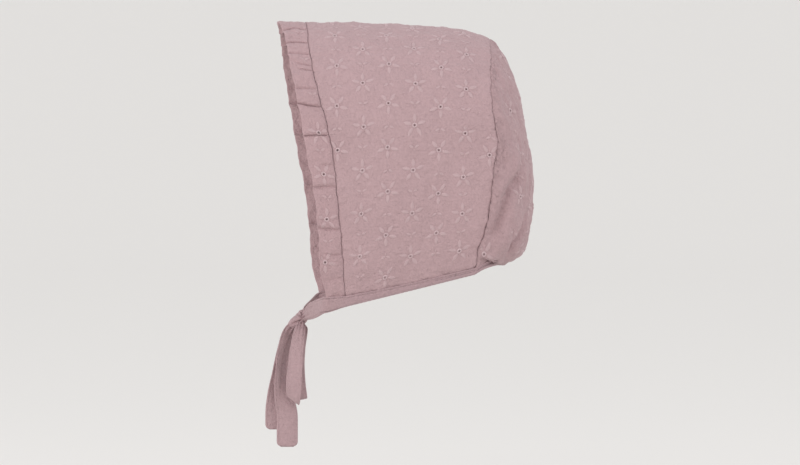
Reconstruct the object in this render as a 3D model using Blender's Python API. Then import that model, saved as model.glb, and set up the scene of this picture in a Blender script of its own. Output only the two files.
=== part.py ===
"""Baby bonnet: a crown panel from ear to ear, a gathered back panel, a tucked face ruffle, a neck binding,
and chin ties in a bow.

Metres, +Z up. +X is the wearer's left, +Y the back of the head, and the face opening looks along -Y. The
origin is where the head bears: the mid-plane point inside the top of the crown.
"""

import math

import bmesh
import bpy
from mathutils import Vector

MM = 0.001

# Cloth and clearances
CLOTH = 1.2 * MM
DOUBLED_CLOTH = 1.8 * MM
BINDING_WALL = 1.0 * MM
RIBBON_WALL = 1.2 * MM
GAP = 0.3 * MM
SEAM_GAP = 0.7 * MM

# Crown panel
CROWN_LENGTH = 114.0 * MM
CROWN_DROP = 10.6 * MM
FACE_HEIGHT = 174.1 * MM
HALF_WIDTH = 64.0 * MM
FACE_TOP_Y = -63.2 * MM
FACE_LEAN = 23.0 * MM
BACK_LEAN = 12.2 * MM
NECK_SLOPE = 0.246
NECK_ANGLE = math.radians(136.0)
WIDEST_SHARE = 0.41

# Back panel
BACK_DEPTH = 27.0 * MM
BACK_HEIGHT = 140.8 * MM
GATHER_COUNT = 9
GATHER_DEPTH = 1.3 * MM
FOLD_WIDTH = 6.5 * MM

# Face ruffle
RUFFLE_WIDTH = 16.8 * MM
RUFFLE_FLARE = 1.6 * MM
RUFFLE_PUFF = 2.2 * MM
RUFFLE_DROP = 3.5 * MM
TUCK_DEPTH = 1.4 * MM

# Neck binding
BINDING_HEIGHT = 8.0 * MM
BINDING_FRONT_HEIGHT = 10.6 * MM

# Ties
STRAP_START_GAP = 2.0 * MM
STRAP_START_IN = 1.2 * MM
RIBBON_WIDTH = 13.0 * MM
KNOT_WIDTH = 12.5 * MM
KNOT_DEPTH = 9.4 * MM
KNOT_HEIGHT = 9.6 * MM
KNOT_FORWARD = 15.6 * MM
KNOT_DROP = 9.2 * MM
LOOP_LENGTH = 53.0 * MM
LOOP_SPREAD = 15.5 * MM
LEFT_TAIL_LENGTH = 80.0 * MM
RIGHT_TAIL_LENGTH = 69.5 * MM
TAIL_SWING = 16.0 * MM
TAIL_SPREAD = 3.4 * MM

# Eyelets of the embroidery
EYELET_RADIUS = 0.65 * MM
EYELET_CUT = 7.2 * MM
COLUMN_COUNT = 7
COLUMN_SPACING = 16.1 * MM
COLUMN_CLOSING = 0.9 * MM
FLOWER_SPACING = 26.8 * MM
FIRST_COLUMN_Y = -46.0 * MM
FIRST_COLUMN_LEAN = 1.2 * MM
FIRST_FLOWER_ARC = 4.2 * MM
SEAM_MARGIN = 2.6 * MM

# Mesh density
CROWN_CELLS = (10, 36)
BACK_CELLS = (42, 18)
BINDING_CELLS = (9, 18)
EYELET_SIDES = 6
RIBBON_CELLS = 2
STRAP_ROWS = 10
LOOP_ROWS = 20
TAIL_ROWS = 12
KNOT_CELLS = (14, 9)
KNOT_CREASES = 5
# Steps for measuring a surface: an angle, a share, and a length along it
TURN_STEP = math.radians(0.5)
SHARE_STEP = 0.01

# (length share, drop share) of the crown's top line, from the face seam to the back seam
TOP_LINE = (
    (0.0, 0.0), (0.14, 0.035), (0.3, 0.07), (0.52, 0.16), (0.68, 0.28), (0.815, 0.42), (0.9, 0.58),
    (0.952, 0.75), (1.0, 1.0),
)
# (length share, half-width share) of the crown at its widest height
WIDTH_LINE = ((0.0, 0.94), (0.3, 0.985), (0.55, 1.0), (0.8, 0.97), (1.0, 0.915))
# (height share, lean share) of the face seam, from the top down
FACE_SEAM = (
    (0.0, 0.0), (0.1, 0.05), (0.22, 0.2), (0.35, 0.45), (0.5, 0.66), (0.65, 0.77), (0.8, 0.88), (1.0, 1.0),
)
# (height share, lean share) of the back seam, which the gathers pull in and out
BACK_SEAM = (
    (0.0, 0.0), (0.05, 0.07), (0.24, 0.19), (0.33, 0.11), (0.4, -0.03), (0.46, -0.11), (0.55, 0.08),
    (0.655, 0.18), (0.765, 0.33), (0.84, 0.52), (0.9, 0.8), (1.0, 0.96),
)
# (seam share, out share, drop share) of the back panel's mid line, down to its edge in the nape binding
BACK_LINE = (
    (0.0, 0.0, 0.0), (0.05, 0.185, 0.029), (0.125, 0.37, 0.087), (0.2, 0.507, 0.153),
    (0.3, 0.644, 0.241), (0.4, 0.759, 0.329), (0.55, 0.88, 0.461), (0.645, 0.965, 0.5625),
    (0.722, 1.0, 0.672), (0.776, 0.967, 0.769), (0.821, 0.907, 0.849), (0.853, 0.83, 0.9),
    (0.876, 0.759, 0.937), (0.896, 0.644, 0.965), (0.914, 0.53, 0.985), (0.929, 0.43, 0.992),
    (0.943, 0.365, 0.975), (0.957, 0.345, 0.953), (0.967, 0.3, 0.94), (0.976, 0.237, 0.949),
    (1.0, 0.2, 0.985),
)
# (height share, side share) points and a depth in shares of FOLD_WIDTH, for each long fold of the back panel
BACK_FOLDS = (
    {"path": ((0.64, 0.42), (0.76, 0.66), (0.90, 0.84)), "depth": 0.50},
    {"path": ((0.76, 0.26), (0.84, 0.42), (0.92, 0.52)), "depth": 0.38},
)
# (height share, width share) of the ruffle
RUFFLE_LINE = (
    (0.0, 1.0), (0.09, 0.79), (0.2, 0.79), (0.3, 0.85), (0.37, 0.9), (0.47, 0.92), (0.58, 0.82),
    (0.71, 0.79), (0.86, 0.83), (0.91, 0.72), (1.0, 0.6),
)
# (height share, depth share, reach share) of each tuck on one side, the reach counted from the seam
TUCKS = (
    (0.004, 0.6, 1.0), (0.031, 0.9, 1.0), (0.08, 0.8, 1.0), (0.125, 0.5, 0.8), (0.17, 0.7, 0.6),
    (0.24, 0.4, 1.0), (0.30, 1.0, 1.0), (0.40, 1.0, 1.0), (0.50, 0.6, 0.5), (0.58, 0.8, 1.0),
    (0.73, 0.8, 1.0), (0.815, 0.6, 0.6), (0.90, 0.3, 0.5), (0.965, 0.0, 0.0),
)
# Shares of the way from one tuck to the next where the ruffle has a section
PUFF_STEPS = (0.0, 0.22, 0.5, 0.78)
# Shares of the ruffle's width where it has a section
RUFFLE_STEPS = (0.0, 0.4, 1.0)
# Shares of the ruffle's width where the binding that holds its lower end has a section
RUFFLE_HELD = (0.97, 0.5)
# (share of the way, inward share, forward share, drop share, width share, lean in degrees) of a chin strap
STRAP_LINE = (
    (0.0, 0.0, 0.0, 0.0, 0.80, 0.0),
    (0.12, 0.06, 0.13, 0.11, 0.75, 2.0),
    (0.35, 0.27, 0.42, 0.39, 0.70, 5.0),
    (0.6, 0.54, 0.70, 0.65, 0.67, 8.0),
    (0.85, 0.82, 0.92, 0.89, 0.58, 8.0),
    (1.0, 1.0, 1.0, 1.0, 0.46, 6.0),
)
# (spread share, forward share, drop share, width share, turn, tilt) of the left bow loop, angles in degrees
LEFT_LOOP_LINE = (
    (0.34, 0.00, 0.064, 0.40, 0.0, 0.0),
    (0.62, 0.08, 0.15, 0.56, 12.0, 0.0),
    (0.86, 0.20, 0.34, 0.70, 22.0, -4.0),
    (1.0, 0.30, 0.58, 0.76, 26.0, -10.0),
    (0.99, 0.36, 0.80, 0.82, 24.0, -28.0),
    (0.88, 0.39, 0.93, 0.86, 16.0, -42.0),
    (0.70, 0.40, 0.97, 0.88, 8.0, -46.0),
    (0.55, 0.38, 0.91, 0.87, 6.0, -42.0),
    (0.47, 0.34, 0.78, 0.82, 8.0, -28.0),
    (0.43, 0.26, 0.58, 0.78, 8.0, -10.0),
    (0.38, 0.16, 0.34, 0.68, 6.0, -4.0),
    (0.25, 0.05, 0.13, 0.46, 0.0, 0.0),
)
# The same of the right bow loop, which hangs further back
RIGHT_LOOP_LINE = (
    (0.34, 0.00, 0.064, 0.40, 0.0, 0.0),
    (0.64, -0.09, 0.13, 0.62, -4.0, 0.0),
    (0.90, 0.06, 0.34, 0.74, -8.0, 0.0),
    (1.0, 0.16, 0.58, 0.78, -8.0, 2.0),
    (0.97, 0.14, 0.79, 0.86, -6.0, 4.0),
    (0.86, 0.10, 0.92, 0.92, -4.0, 6.0),
    (0.70, 0.08, 0.965, 0.92, 0.0, 8.0),
    (0.53, 0.10, 0.91, 0.90, 0.0, 6.0),
    (0.45, 0.14, 0.78, 0.84, 0.0, 4.0),
    (0.41, 0.16, 0.58, 0.78, 0.0, 2.0),
    (0.35, 0.08, 0.34, 0.70, 0.0, 0.0),
    (0.25, 0.00, 0.13, 0.46, 0.0, 0.0),
)
# (spread share, swing share, drop share, width share, turn, tilt) of each tail, angles in degrees
LEFT_TAIL_LINE = (
    (0.32, 0.16, 0.049, 0.42, 0.0, -40.0),
    (0.55, 0.36, 0.100, 0.64, 3.0, -36.0),
    (0.80, 0.54, 0.20, 0.86, 6.0, -16.0),
    (0.84, 0.67, 0.40, 0.97, 8.0, -2.0),
    (0.84, 0.56, 0.60, 1.0, 8.0, 0.0),
    (0.90, 0.52, 0.80, 1.0, 14.0, 0.0),
    (0.90, 0.52, 1.0, 1.0, 10.0, 0.0),
)
RIGHT_TAIL_LINE = (
    (0.32, 0.16, 0.056, 0.42, 0.0, -40.0),
    (0.65, 0.36, 0.115, 0.64, -4.0, -36.0),
    (0.90, 0.50, 0.24, 0.86, -8.0, -16.0),
    (0.95, 0.71, 0.46, 0.97, -10.0, -2.0),
    (1.0, 0.87, 0.68, 1.0, -8.0, 0.0),
    (1.0, 0.94, 0.86, 1.0, -4.0, 0.0),
    (1.0, 0.94, 1.0, 1.0, 0.0, 0.0),
)
# (share of the way along the side, height share) of the binding, which keeps its last height round the nape
BINDING_LINE = ((0.0, 1.0), (0.25, 0.84), (0.5, 0.76), (1.0, 0.68))
# (share taken off, arc where it starts) of each column's flower spacing, as the cloth draws in to the nape
COLUMN_SQUEEZES = (
    (0.0, 0.0), (0.0, 0.0), (0.0, 0.0), (0.0, 0.0),
    (0.08, 125.0 * MM), (0.145, 125.0 * MM), (0.18, 78.0 * MM),
)
# (across share, height share) of each eyelet of the ruffle's own flowers, on both sides
RUFFLE_EYELETS = ((0.39, 0.383), (0.48, 0.529), (0.61, 0.693), (0.80, 0.84))
# (seam share, side angle in degrees) of each eyelet of the back panel, on both sides
BACK_EYELETS = (
    (0.215, 0.0), (0.43, 0.0), (0.632, 0.0), (0.757, 0.0), (0.87, 0.0),
    (0.137, 50.0), (0.332, 20.0), (0.545, 15.0), (0.702, 14.5), (0.81, 15.0),
    (0.277, 53.0), (0.462, 33.5), (0.642, 30.0), (0.76, 30.5), (0.87, 34.0),
    (0.48, 59.5), (0.637, 52.0), (0.747, 54.0), (0.932, 82.0),
)

QUARTER = math.pi / 2


def curve(rows, at, column=1):
    """Value at a place on the smooth curve through rows of (place, value...), without overshoot."""
    places = [row[0] for row in rows]
    values = [row[column] for row in rows]
    steps = [(v1 - v0) / (p1 - p0) for p0, p1, v0, v1 in zip(places, places[1:], values, values[1:])]
    slopes = [steps[0]]
    for before, after in zip(steps, steps[1:]):
        turning = before * after <= 0.0
        slopes.append(0.0 if turning else 2.0 * before * after / (before + after))
    slopes.append(steps[-1])
    at = min(max(at, places[0]), places[-1])
    k = max(i for i in range(len(steps)) if at >= places[i])
    span = places[k + 1] - places[k]
    t = (at - places[k]) / span
    start = (1 + 2 * t) * (1 - t) ** 2 * values[k] + t * (1 - t) ** 2 * span * slopes[k]
    end = t * t * (3 - 2 * t) * values[k + 1] + t * t * (t - 1) * span * slopes[k + 1]
    return start + end


def mix(start, end, share):
    return start + (end - start) * share


def fade(value, low, high):
    """0 below low, 1 above high, and a smooth step between."""
    t = min(max((value - low) / (high - low), 0.0), 1.0)
    return t * t * (3.0 - 2.0 * t)


# Crown


def top_z(y):
    """Height of the crown's outer face over the mid-plane."""
    seat_drop = curve(TOP_LINE, -FACE_TOP_Y / CROWN_LENGTH)
    share = (y - FACE_TOP_Y) / CROWN_LENGTH
    return CLOTH + CROWN_DROP * (seat_drop - curve(TOP_LINE, share))


def neck_z(y):
    """Height of the panels' raw lower edge, which rises evenly to the back."""
    corner_y = FACE_TOP_Y + FACE_LEAN
    return top_z(FACE_TOP_Y) - FACE_HEIGHT + NECK_SLOPE * (y - corner_y)


def height_share(angle):
    """How far down its section a point is by its angle: 0 on the mid-plane and 1 at the neck."""
    turn = abs(angle)
    if turn < QUARTER:
        return WIDEST_SHARE * (1.0 - math.cos(turn))
    return WIDEST_SHARE + (1.0 - WIDEST_SHARE) * math.cos(turn) / math.cos(NECK_ANGLE)


def angle_at(share):
    """Angle from the top of a point this far down its section."""
    if share < WIDEST_SHARE:
        return math.acos(1.0 - share / WIDEST_SHARE)
    return math.acos((share - WIDEST_SHARE) / (1.0 - WIDEST_SHARE) * math.cos(NECK_ANGLE))


def section_point(y, angle):
    """Outer face of the crown in the plane at y. A positive angle is on the wearer's left."""
    half = HALF_WIDTH * curve(WIDTH_LINE, (y - FACE_TOP_Y) / CROWN_LENGTH)
    z = mix(top_z(y), neck_z(y), height_share(angle))
    return Vector((half * math.sin(angle), y, z))


def face_seam_y(share):
    return FACE_TOP_Y + FACE_LEAN * curve(FACE_SEAM, share)


def back_seam_y(share):
    return FACE_TOP_Y + CROWN_LENGTH - BACK_LEAN * curve(BACK_SEAM, share)


def crown_point(along, angle):
    """Outer face of the crown, from the face seam at 0 to the back seam at 1."""
    share = height_share(angle)
    return section_point(mix(face_seam_y(share), back_seam_y(share), along), angle)


# Back panel


def back_fold_depth(share, side):
    """How far the long folds draw the back panel in, at a height share and a side share from the mid line."""
    depth = 0.0
    for fold in BACK_FOLDS:
        path = fold["path"]
        if not path[0][0] <= share <= path[-1][0]:
            continue
        middle = curve(path, share)
        ends = math.sin(math.pi * (share - path[0][0]) / (path[-1][0] - path[0][0]))
        away = (side - middle) * HALF_WIDTH / FOLD_WIDTH
        depth += fold["depth"] * FOLD_WIDTH * ends * math.exp(-2.0 * away * away)
    return depth


def gather_height(share, side):
    """Relief of the gathers that the back seam and the nape binding hold."""
    seam = fade(side, 0.45, 0.95) * fade(1.0 - side, 0.0, 0.06)
    held = fade(share, 0.03, 0.15) * fade(1.0 - share, 0.08, 0.16)
    return GATHER_DEPTH * seam * held * math.cos(2.0 * math.pi * GATHER_COUNT * share)


def back_point(share, turn):
    """Outer face of the back panel: share goes down the seam, turn from -90 to 90 degrees to the left."""
    angle = NECK_ANGLE * share
    seam = section_point(back_seam_y(height_share(angle)), angle)
    seam.y += SEAM_GAP
    top = section_point(back_seam_y(0.0), 0.0)
    middle_y = top.y + SEAM_GAP + BACK_DEPTH * curve(BACK_LINE, share, 1)
    middle_z = top.z - BACK_HEIGHT * curve(BACK_LINE, share, 2)
    toward = math.cos(turn)
    side = abs(math.sin(turn))
    hanging = mix(toward, 1.0 - (turn / QUARTER) ** 4, fade(share, 0.5, 0.85))
    x = seam.x * math.sin(turn)
    point = Vector((x, mix(seam.y, middle_y, toward), mix(seam.z, middle_z, hanging)))
    above_middle = point.z - mix(top.z, neck_z(top.y), 0.5)
    out = Vector((point.x, max(middle_y - top.y, MM), 0.25 * above_middle)).normalized()
    return point + out * (gather_height(share, side) - back_fold_depth(share, side))


# Face ruffle


def ruffle_puff(angle, across):
    """Outward lift of the ruffle, full between its tucks and drawn in at them."""
    share = height_share(angle)
    held = fade(1.0 - share, 0.035, 0.08)
    before = max((t for t in TUCKS if t[0] <= share), default=TUCKS[0])
    after = min((t for t in TUCKS if t[0] > share), default=TUCKS[-1])
    if before is after or before[0] >= after[0]:
        return 0.0
    here = angle_at(share)
    start = angle_at(before[0])
    end = angle_at(after[0])
    place = (here - start) / (end - start)
    nearest = before if place < 0.5 else after
    swell = math.sin(math.pi * place)
    drawn = nearest[1] * max(0.0, 1.0 - 3.2 * min(place, 1.0 - place))
    reach = 1.0 - fade(across, nearest[2], nearest[2] + 0.4)
    depth = RUFFLE_PUFF * swell * across ** 0.6 - TUCK_DEPTH * drawn * reach * fade(across, 0.0, 0.3)
    return held * depth


def ruffle_point(angle, across):
    """Outer face of the ruffle, from its seam at 0 to its folded front edge at 1."""
    share = height_share(angle)
    seam = section_point(face_seam_y(share), angle)
    beside = section_point(face_seam_y(share), angle + TURN_STEP)
    along = beside - seam
    out = Vector((along.z, 0.0, -along.x)).normalized()
    out = -out if out.x * seam.x + out.z * (seam.z + HALF_WIDTH) < 0.0 else out
    width = RUFFLE_WIDTH * curve(RUFFLE_LINE, share) - GAP
    point = seam + Vector((0.0, -GAP - width * across, 0.0))
    flare = RUFFLE_FLARE * across * math.sin(min(abs(angle), QUARTER)) * fade(1.0 - share, 0.035, 0.2)
    point.z -= RUFFLE_DROP * across * fade(share, 0.75, 1.0)
    return point + out * (flare + ruffle_puff(angle, across))


def ruffle_angles():
    """Sections round the face, a few in each puff between tucks."""
    side = []
    for before, after in zip(TUCKS, TUCKS[1:]):
        start = angle_at(before[0])
        end = angle_at(after[0])
        side += [mix(start, end, step) for step in PUFF_STEPS]
    side += [angle_at(TUCKS[-1][0]), NECK_ANGLE]
    return [-a for a in reversed(side)] + [0.0] + side


# Surfaces, solids and materials


def linear(level):
    """sRGB level from 0 to 255 as a linear value."""
    value = level / 255.0
    return value / 12.92 if value <= 0.04045 else ((value + 0.055) / 1.055) ** 2.4


def cotton(name, rgb, roughness=0.9):
    """Plain cotton of this sRGB colour."""
    material = bpy.data.materials.new(name)
    material.use_nodes = True
    shader = material.node_tree.nodes["Principled BSDF"]
    shader.inputs["Base Color"].default_value = (*[linear(level) for level in rgb], 1.0)
    shader.inputs["Roughness"].default_value = roughness
    shader.inputs["Metallic"].default_value = 0.0
    return material


def add_object(name, bm, material):
    mesh = bpy.data.meshes.new(name)
    bm.to_mesh(mesh)
    bm.free()
    obj = bpy.data.objects.new(name, mesh)
    bpy.context.scene.collection.objects.link(obj)
    if material:
        mesh.materials.append(material)
        mesh.shade_smooth()
    return obj


def grid_surface(rows):
    """A bmesh sheet through rows of points. A row whose points all meet becomes one point."""
    bm = bmesh.new()
    placed = []
    for row in rows:
        single = all((point - row[0]).length < 0.01 * MM for point in row)
        made = [bm.verts.new(point) for point in (row[:1] if single else row)]
        placed.append(made * len(row) if single else made)
    for low, high in zip(placed, placed[1:]):
        for k in range(len(low) - 1):
            corners = [low[k], high[k], high[k + 1], low[k + 1]]
            bm.faces.new(list(dict.fromkeys(corners)))
    return bm


def cloth_sheet(name, rows, wall, material, outward):
    """A closed cloth wall whose outer face runs through rows of points and looks to the outward point."""
    bm = grid_surface(rows)
    bm.normal_update()
    middle = min(bm.faces, key=lambda face: (face.calc_center_median() - outward).length)
    if middle.normal.dot(outward - middle.calc_center_median()) < 0.0:
        bmesh.ops.reverse_faces(bm, faces=bm.faces)
    obj = add_object(name, bm, material)
    solid = obj.modifiers.new("wall", "SOLIDIFY")
    solid.thickness = wall
    solid.offset = -1.0
    solid.use_even_offset = True
    return obj


def spaced(low, high, cells):
    return [mix(low, high, k / cells) for k in range(cells + 1)]


def eyelet_at(point_at, u, v, u_step, v_step):
    """A point of a surface function and its unit normal, which faces away from the middle of the head."""
    across_u = point_at(u + u_step, v) - point_at(u - u_step, v)
    across_v = point_at(u, v + v_step) - point_at(u, v - v_step)
    normal = across_u.cross(across_v).normalized()
    point = point_at(u, v)
    away = point - Vector((0.0, 0.0, -HALF_WIDTH))
    return point, normal if normal.dot(away) > 0.0 else -normal


def pierce(target, places):
    """Cuts the eyelets through a cloth wall at (point, normal) places."""
    bm = bmesh.new()
    for point, normal in places:
        turn = normal.to_track_quat("Z", "Y").to_matrix().to_4x4()
        turn.translation = point
        bmesh.ops.create_cone(
            bm,
            cap_ends=True,
            segments=EYELET_SIDES,
            radius1=EYELET_RADIUS,
            radius2=EYELET_RADIUS,
            depth=EYELET_CUT,
            matrix=turn,
        )
    cutter = add_object(target.name + "_eyelets", bm, None)
    cutter.hide_render = True
    cutter.display_type = "WIRE"
    cut = target.modifiers.new("eyelets", "BOOLEAN")
    cut.operation = "DIFFERENCE"
    cut.object = cutter


# The pieces


def angle_along(y, arc):
    """Angle of the point this far over the crown from the mid line, positive on the left."""
    step = math.copysign(TURN_STEP, arc)
    angle = 0.0
    gone = 0.0
    while gone < abs(arc) and abs(angle) < NECK_ANGLE:
        gone += (section_point(y, angle + step) - section_point(y, angle)).length
        angle += step
    return angle


def crown_flowers():
    """(y, angle) of each flower: columns over the head, each half a flower out of step with the last."""
    flowers = []
    rows = math.ceil(2.0 * FACE_HEIGHT / FLOWER_SPACING)
    for column in range(COLUMN_COUNT):
        top_y = FIRST_COLUMN_Y + column * COLUMN_SPACING
        first = FIRST_FLOWER_ARC + 0.5 * FLOWER_SPACING * (column % 2)
        taken, start = COLUMN_SQUEEZES[column]
        for row in range(-rows, rows):
            arc = first + row * FLOWER_SPACING
            arc -= math.copysign(taken * max(abs(arc) - start, 0.0), arc)
            angle = angle_along(top_y, arc)
            share = height_share(angle)
            y = top_y - share * (FIRST_COLUMN_LEAN + column * COLUMN_CLOSING)
            inside = face_seam_y(share) + SEAM_MARGIN < y < back_seam_y(share) - SEAM_MARGIN
            if inside and share < 1.0 - (BINDING_HEIGHT + SEAM_MARGIN) / FACE_HEIGHT:
                flowers.append((y, angle))
    return flowers


def make_crown(material):
    rows = [
        [crown_point(along, angle) for angle in spaced(-NECK_ANGLE, NECK_ANGLE, CROWN_CELLS[1])]
        for along in spaced(0.0, 1.0, CROWN_CELLS[0])
    ]
    crown = cloth_sheet("crown_panel", rows, CLOTH, material, Vector((0.0, 0.0, FACE_HEIGHT)))
    pierce(crown, [eyelet_at(section_point, y, angle, MM, TURN_STEP) for y, angle in crown_flowers()])


def make_back(material):
    rows = [
        [back_point(share, turn) for turn in spaced(-QUARTER, QUARTER, BACK_CELLS[1])]
        for share in back_shares()
    ]
    back = cloth_sheet("back_panel", rows, CLOTH, material, Vector((0.0, 2.0 * HALF_WIDTH, -HALF_WIDTH)))
    places = {(share, math.radians(side * turn)) for share, turn in BACK_EYELETS for side in (1, -1)}
    pierce(back, [eyelet_at(back_point, *place, SHARE_STEP, TURN_STEP) for place in sorted(places)])


def back_shares():
    """Rows of the back panel: even down the dome, then one on each row where the mid line turns in."""
    turn_in = [row[0] for row in BACK_LINE if row[0] > 0.84]
    return spaced(0.0, turn_in[0], BACK_CELLS[0] - len(turn_in))[:-1] + turn_in


def make_ruffle(material):
    angles = ruffle_angles()
    rows = [[ruffle_point(angle, across) for angle in angles] for across in RUFFLE_STEPS]
    ruffle = cloth_sheet("face_ruffle", rows, DOUBLED_CLOTH, material, Vector((0.0, FACE_TOP_Y, FACE_HEIGHT)))
    places = [(side * angle_at(share), across) for across, share in RUFFLE_EYELETS for side in (1, -1)]
    pierce(ruffle, [eyelet_at(ruffle_point, *place, TURN_STEP, SHARE_STEP) for place in places])


def mirrored(point):
    return Vector((-point.x, point.y, point.z))


def neck_edge():
    """(edge point, point up the cloth, binding height) from the left front corner to the nape's middle."""
    held = BACK_LINE[-2][0]
    up_angle = NECK_ANGLE * held
    stations = []
    for across in RUFFLE_HELD:
        height = mix(BINDING_HEIGHT, BINDING_FRONT_HEIGHT, across)
        stations.append((ruffle_point(NECK_ANGLE, across), ruffle_point(up_angle, across), height))
    for along in spaced(0.0, 1.0, BINDING_CELLS[0])[:-1]:
        height = BINDING_HEIGHT * curve(BINDING_LINE, along)
        stations.append((crown_point(along, NECK_ANGLE), crown_point(along, up_angle), height))
    for turn in spaced(QUARTER, 0.0, BINDING_CELLS[1] // 2):
        height = BINDING_HEIGHT * BINDING_LINE[-1][1]
        stations.append((back_point(1.0, turn), back_point(held, turn), height))
    return stations


def binding_section(height):
    """(rise, aside) corners of the folded strip, round the cloth edge at its origin."""
    grip = height - GAP - BINDING_WALL
    outer = GAP
    inner = -DOUBLED_CLOTH - GAP
    return (
        (grip, outer), (grip, outer + BINDING_WALL), (0.0, outer + BINDING_WALL),
        (-GAP - BINDING_WALL, 0.3 * outer), (-GAP - BINDING_WALL, 0.7 * inner),
        (0.0, inner - BINDING_WALL), (grip, inner - BINDING_WALL), (grip, inner),
        (-0.3 * GAP, inner), (-GAP, mix(outer, inner, 0.5)), (-0.3 * GAP, outer),
    )


def make_binding(material):
    """A strip folded over the neck edge, open upwards, with the panels' edges in its fold."""
    left = neck_edge()
    right = [(mirrored(edge), mirrored(above), height) for edge, above, height in reversed(left[:-1])]
    stations = left + right
    bm = bmesh.new()
    rings = []
    for k, (edge, above, height) in enumerate(stations):
        before = stations[max(k - 1, 0)][0]
        after = stations[min(k + 1, len(stations) - 1)][0]
        up = (above - edge).normalized()
        out = (after - before).cross(up).normalized()
        corners = [edge + up * rise + out * aside for rise, aside in binding_section(height)]
        rings.append([bm.verts.new(corner) for corner in corners])
    for low, high in zip(rings, rings[1:]):
        for j in range(len(low)):
            n = (j + 1) % len(low)
            bm.faces.new((low[j], low[n], high[n], high[j]))
    bm.faces.new(rings[0])
    bm.faces.new(rings[-1])
    bmesh.ops.recalc_face_normals(bm, faces=bm.faces)
    add_object("neck_binding", bm, material)


def ribbon(name, centres, widths, material):
    """A flat tie through centre points, each with a width vector from its middle to its edge."""
    rows = [
        [centre + wide * mix(-1.0, 1.0, k / RIBBON_CELLS) for k in range(RIBBON_CELLS + 1)]
        for centre, wide in zip(centres, widths)
    ]
    bm = grid_surface(rows)
    obj = add_object(name, bm, material)
    solid = obj.modifiers.new("wall", "SOLIDIFY")
    solid.thickness = RIBBON_WALL
    solid.offset = 0.0
    solid.use_even_offset = True
    return obj


def smooth_rows(rows, count):
    """Evenly spaced rows on the smooth curve through a table whose rows have no place column."""
    placed = [(k / (len(rows) - 1), *row) for k, row in enumerate(rows)]
    return [
        [curve(placed, at, column) for column in range(1, len(placed[0]))] for at in spaced(0.0, 1.0, count)
    ]


def binding_end():
    """Middle of the binding's front end on the left, where the strap starts, and the way up it."""
    edge, above, height = neck_edge()[0]
    up = (above - edge).normalized()
    return edge + up * (0.5 * height - GAP - BINDING_WALL), up


def knot_centre():
    end, _ = binding_end()
    return Vector((0.0, end.y - KNOT_FORWARD, end.z - KNOT_DROP))


def make_strap(name, side, material):
    """The tie from the binding's end to the bow knot under the chin."""
    start, up = binding_end()
    start = start + Vector((-STRAP_START_IN, -STRAP_START_GAP, 0.0))
    knot = knot_centre()
    end_x = 0.5 * KNOT_WIDTH + GAP
    centres = []
    widths = []
    for at in spaced(0.0, 1.0, STRAP_ROWS):
        inward, forward, drop, wide, lean = [curve(STRAP_LINE, at, column) for column in range(1, 6)]
        centre = Vector(
            (mix(start.x, end_x, inward), mix(start.y, knot.y, forward), mix(start.z, knot.z, drop))
        )
        tilt = math.radians(lean)
        aside = up.x * (1.0 - at) - 0.5 * math.sin(tilt)
        direction = Vector((aside, -math.sin(tilt), math.cos(tilt))).normalized()
        centres.append(Vector((side * centre.x, centre.y, centre.z)))
        widths.append(Vector((side * direction.x, direction.y, direction.z)) * (0.5 * RIBBON_WIDTH * wide))
    ribbon(name, centres, widths, material)


def hanging_ribbon(name, rows, side, reach, material, count):
    """A loop or tail that hangs from the knot. Its rows hold shares of the spread, swing and drop."""
    spread, swing, drop = reach
    knot = knot_centre()
    centres = []
    widths = []
    for row in smooth_rows(rows, count):
        aside, forward, down, wide = row[:4]
        turn, tilt = [math.radians(degrees) for degrees in row[4:]]
        centres.append(knot + Vector((side * aside * spread, -forward * swing, -down * drop)))
        level = math.cos(turn)
        direction = Vector((side * math.sin(turn), level * math.cos(tilt), level * math.sin(tilt)))
        widths.append(direction * (0.5 * RIBBON_WIDTH * wide))
    ribbon(name, centres, widths, material)


def make_knot(material):
    """The drawn-up knot, with its cloth in creases round the middle."""
    bm = bmesh.new()
    bmesh.ops.create_uvsphere(bm, u_segments=KNOT_CELLS[0], v_segments=KNOT_CELLS[1], radius=0.5)
    centre = knot_centre()
    for vert in bm.verts:
        x, y, z = vert.co * 2.0
        crease = 1.0 - 0.10 * math.cos(KNOT_CREASES * math.atan2(z, y)) * (1.0 - x * x)
        waist = 1.0 - 0.12 * (1.0 - abs(x))
        drawn = 0.5 * crease * waist
        vert.co = centre + Vector((x * 0.5 * KNOT_WIDTH, y * KNOT_DEPTH * drawn, z * KNOT_HEIGHT * drawn))
    add_object("bow_knot", bm, material)


def main():
    for obj in list(bpy.data.objects):
        bpy.data.objects.remove(obj)
    crown_cotton = cotton("crown_cotton", (184, 157, 159))
    back_cotton = cotton("back_cotton", (179, 151, 153))
    ruffle_cotton = cotton("ruffle_cotton", (184, 155, 157))
    binding_cotton = cotton("binding_cotton", (170, 148, 148))
    tie_cotton = cotton("tie_cotton", (177, 151, 152))
    make_crown(crown_cotton)
    make_back(back_cotton)
    make_ruffle(ruffle_cotton)
    make_binding(binding_cotton)
    make_knot(tie_cotton)
    for side, wearer in ((1, "left"), (-1, "right")):
        make_strap(wearer + "_chin_strap", side, tie_cotton)
    loop_reach = (LOOP_SPREAD, RIBBON_WIDTH, LOOP_LENGTH)
    hanging_ribbon("left_bow_loop", LEFT_LOOP_LINE, 1, loop_reach, tie_cotton, LOOP_ROWS)
    hanging_ribbon("right_bow_loop", RIGHT_LOOP_LINE, -1, loop_reach, tie_cotton, LOOP_ROWS)
    left_reach = (TAIL_SPREAD, TAIL_SWING, LEFT_TAIL_LENGTH)
    right_reach = (TAIL_SPREAD, TAIL_SWING, RIGHT_TAIL_LENGTH)
    hanging_ribbon("left_tail", LEFT_TAIL_LINE, 1, left_reach, tie_cotton, TAIL_ROWS)
    hanging_ribbon("right_tail", RIGHT_TAIL_LINE, -1, right_reach, tie_cotton, TAIL_ROWS)


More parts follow.
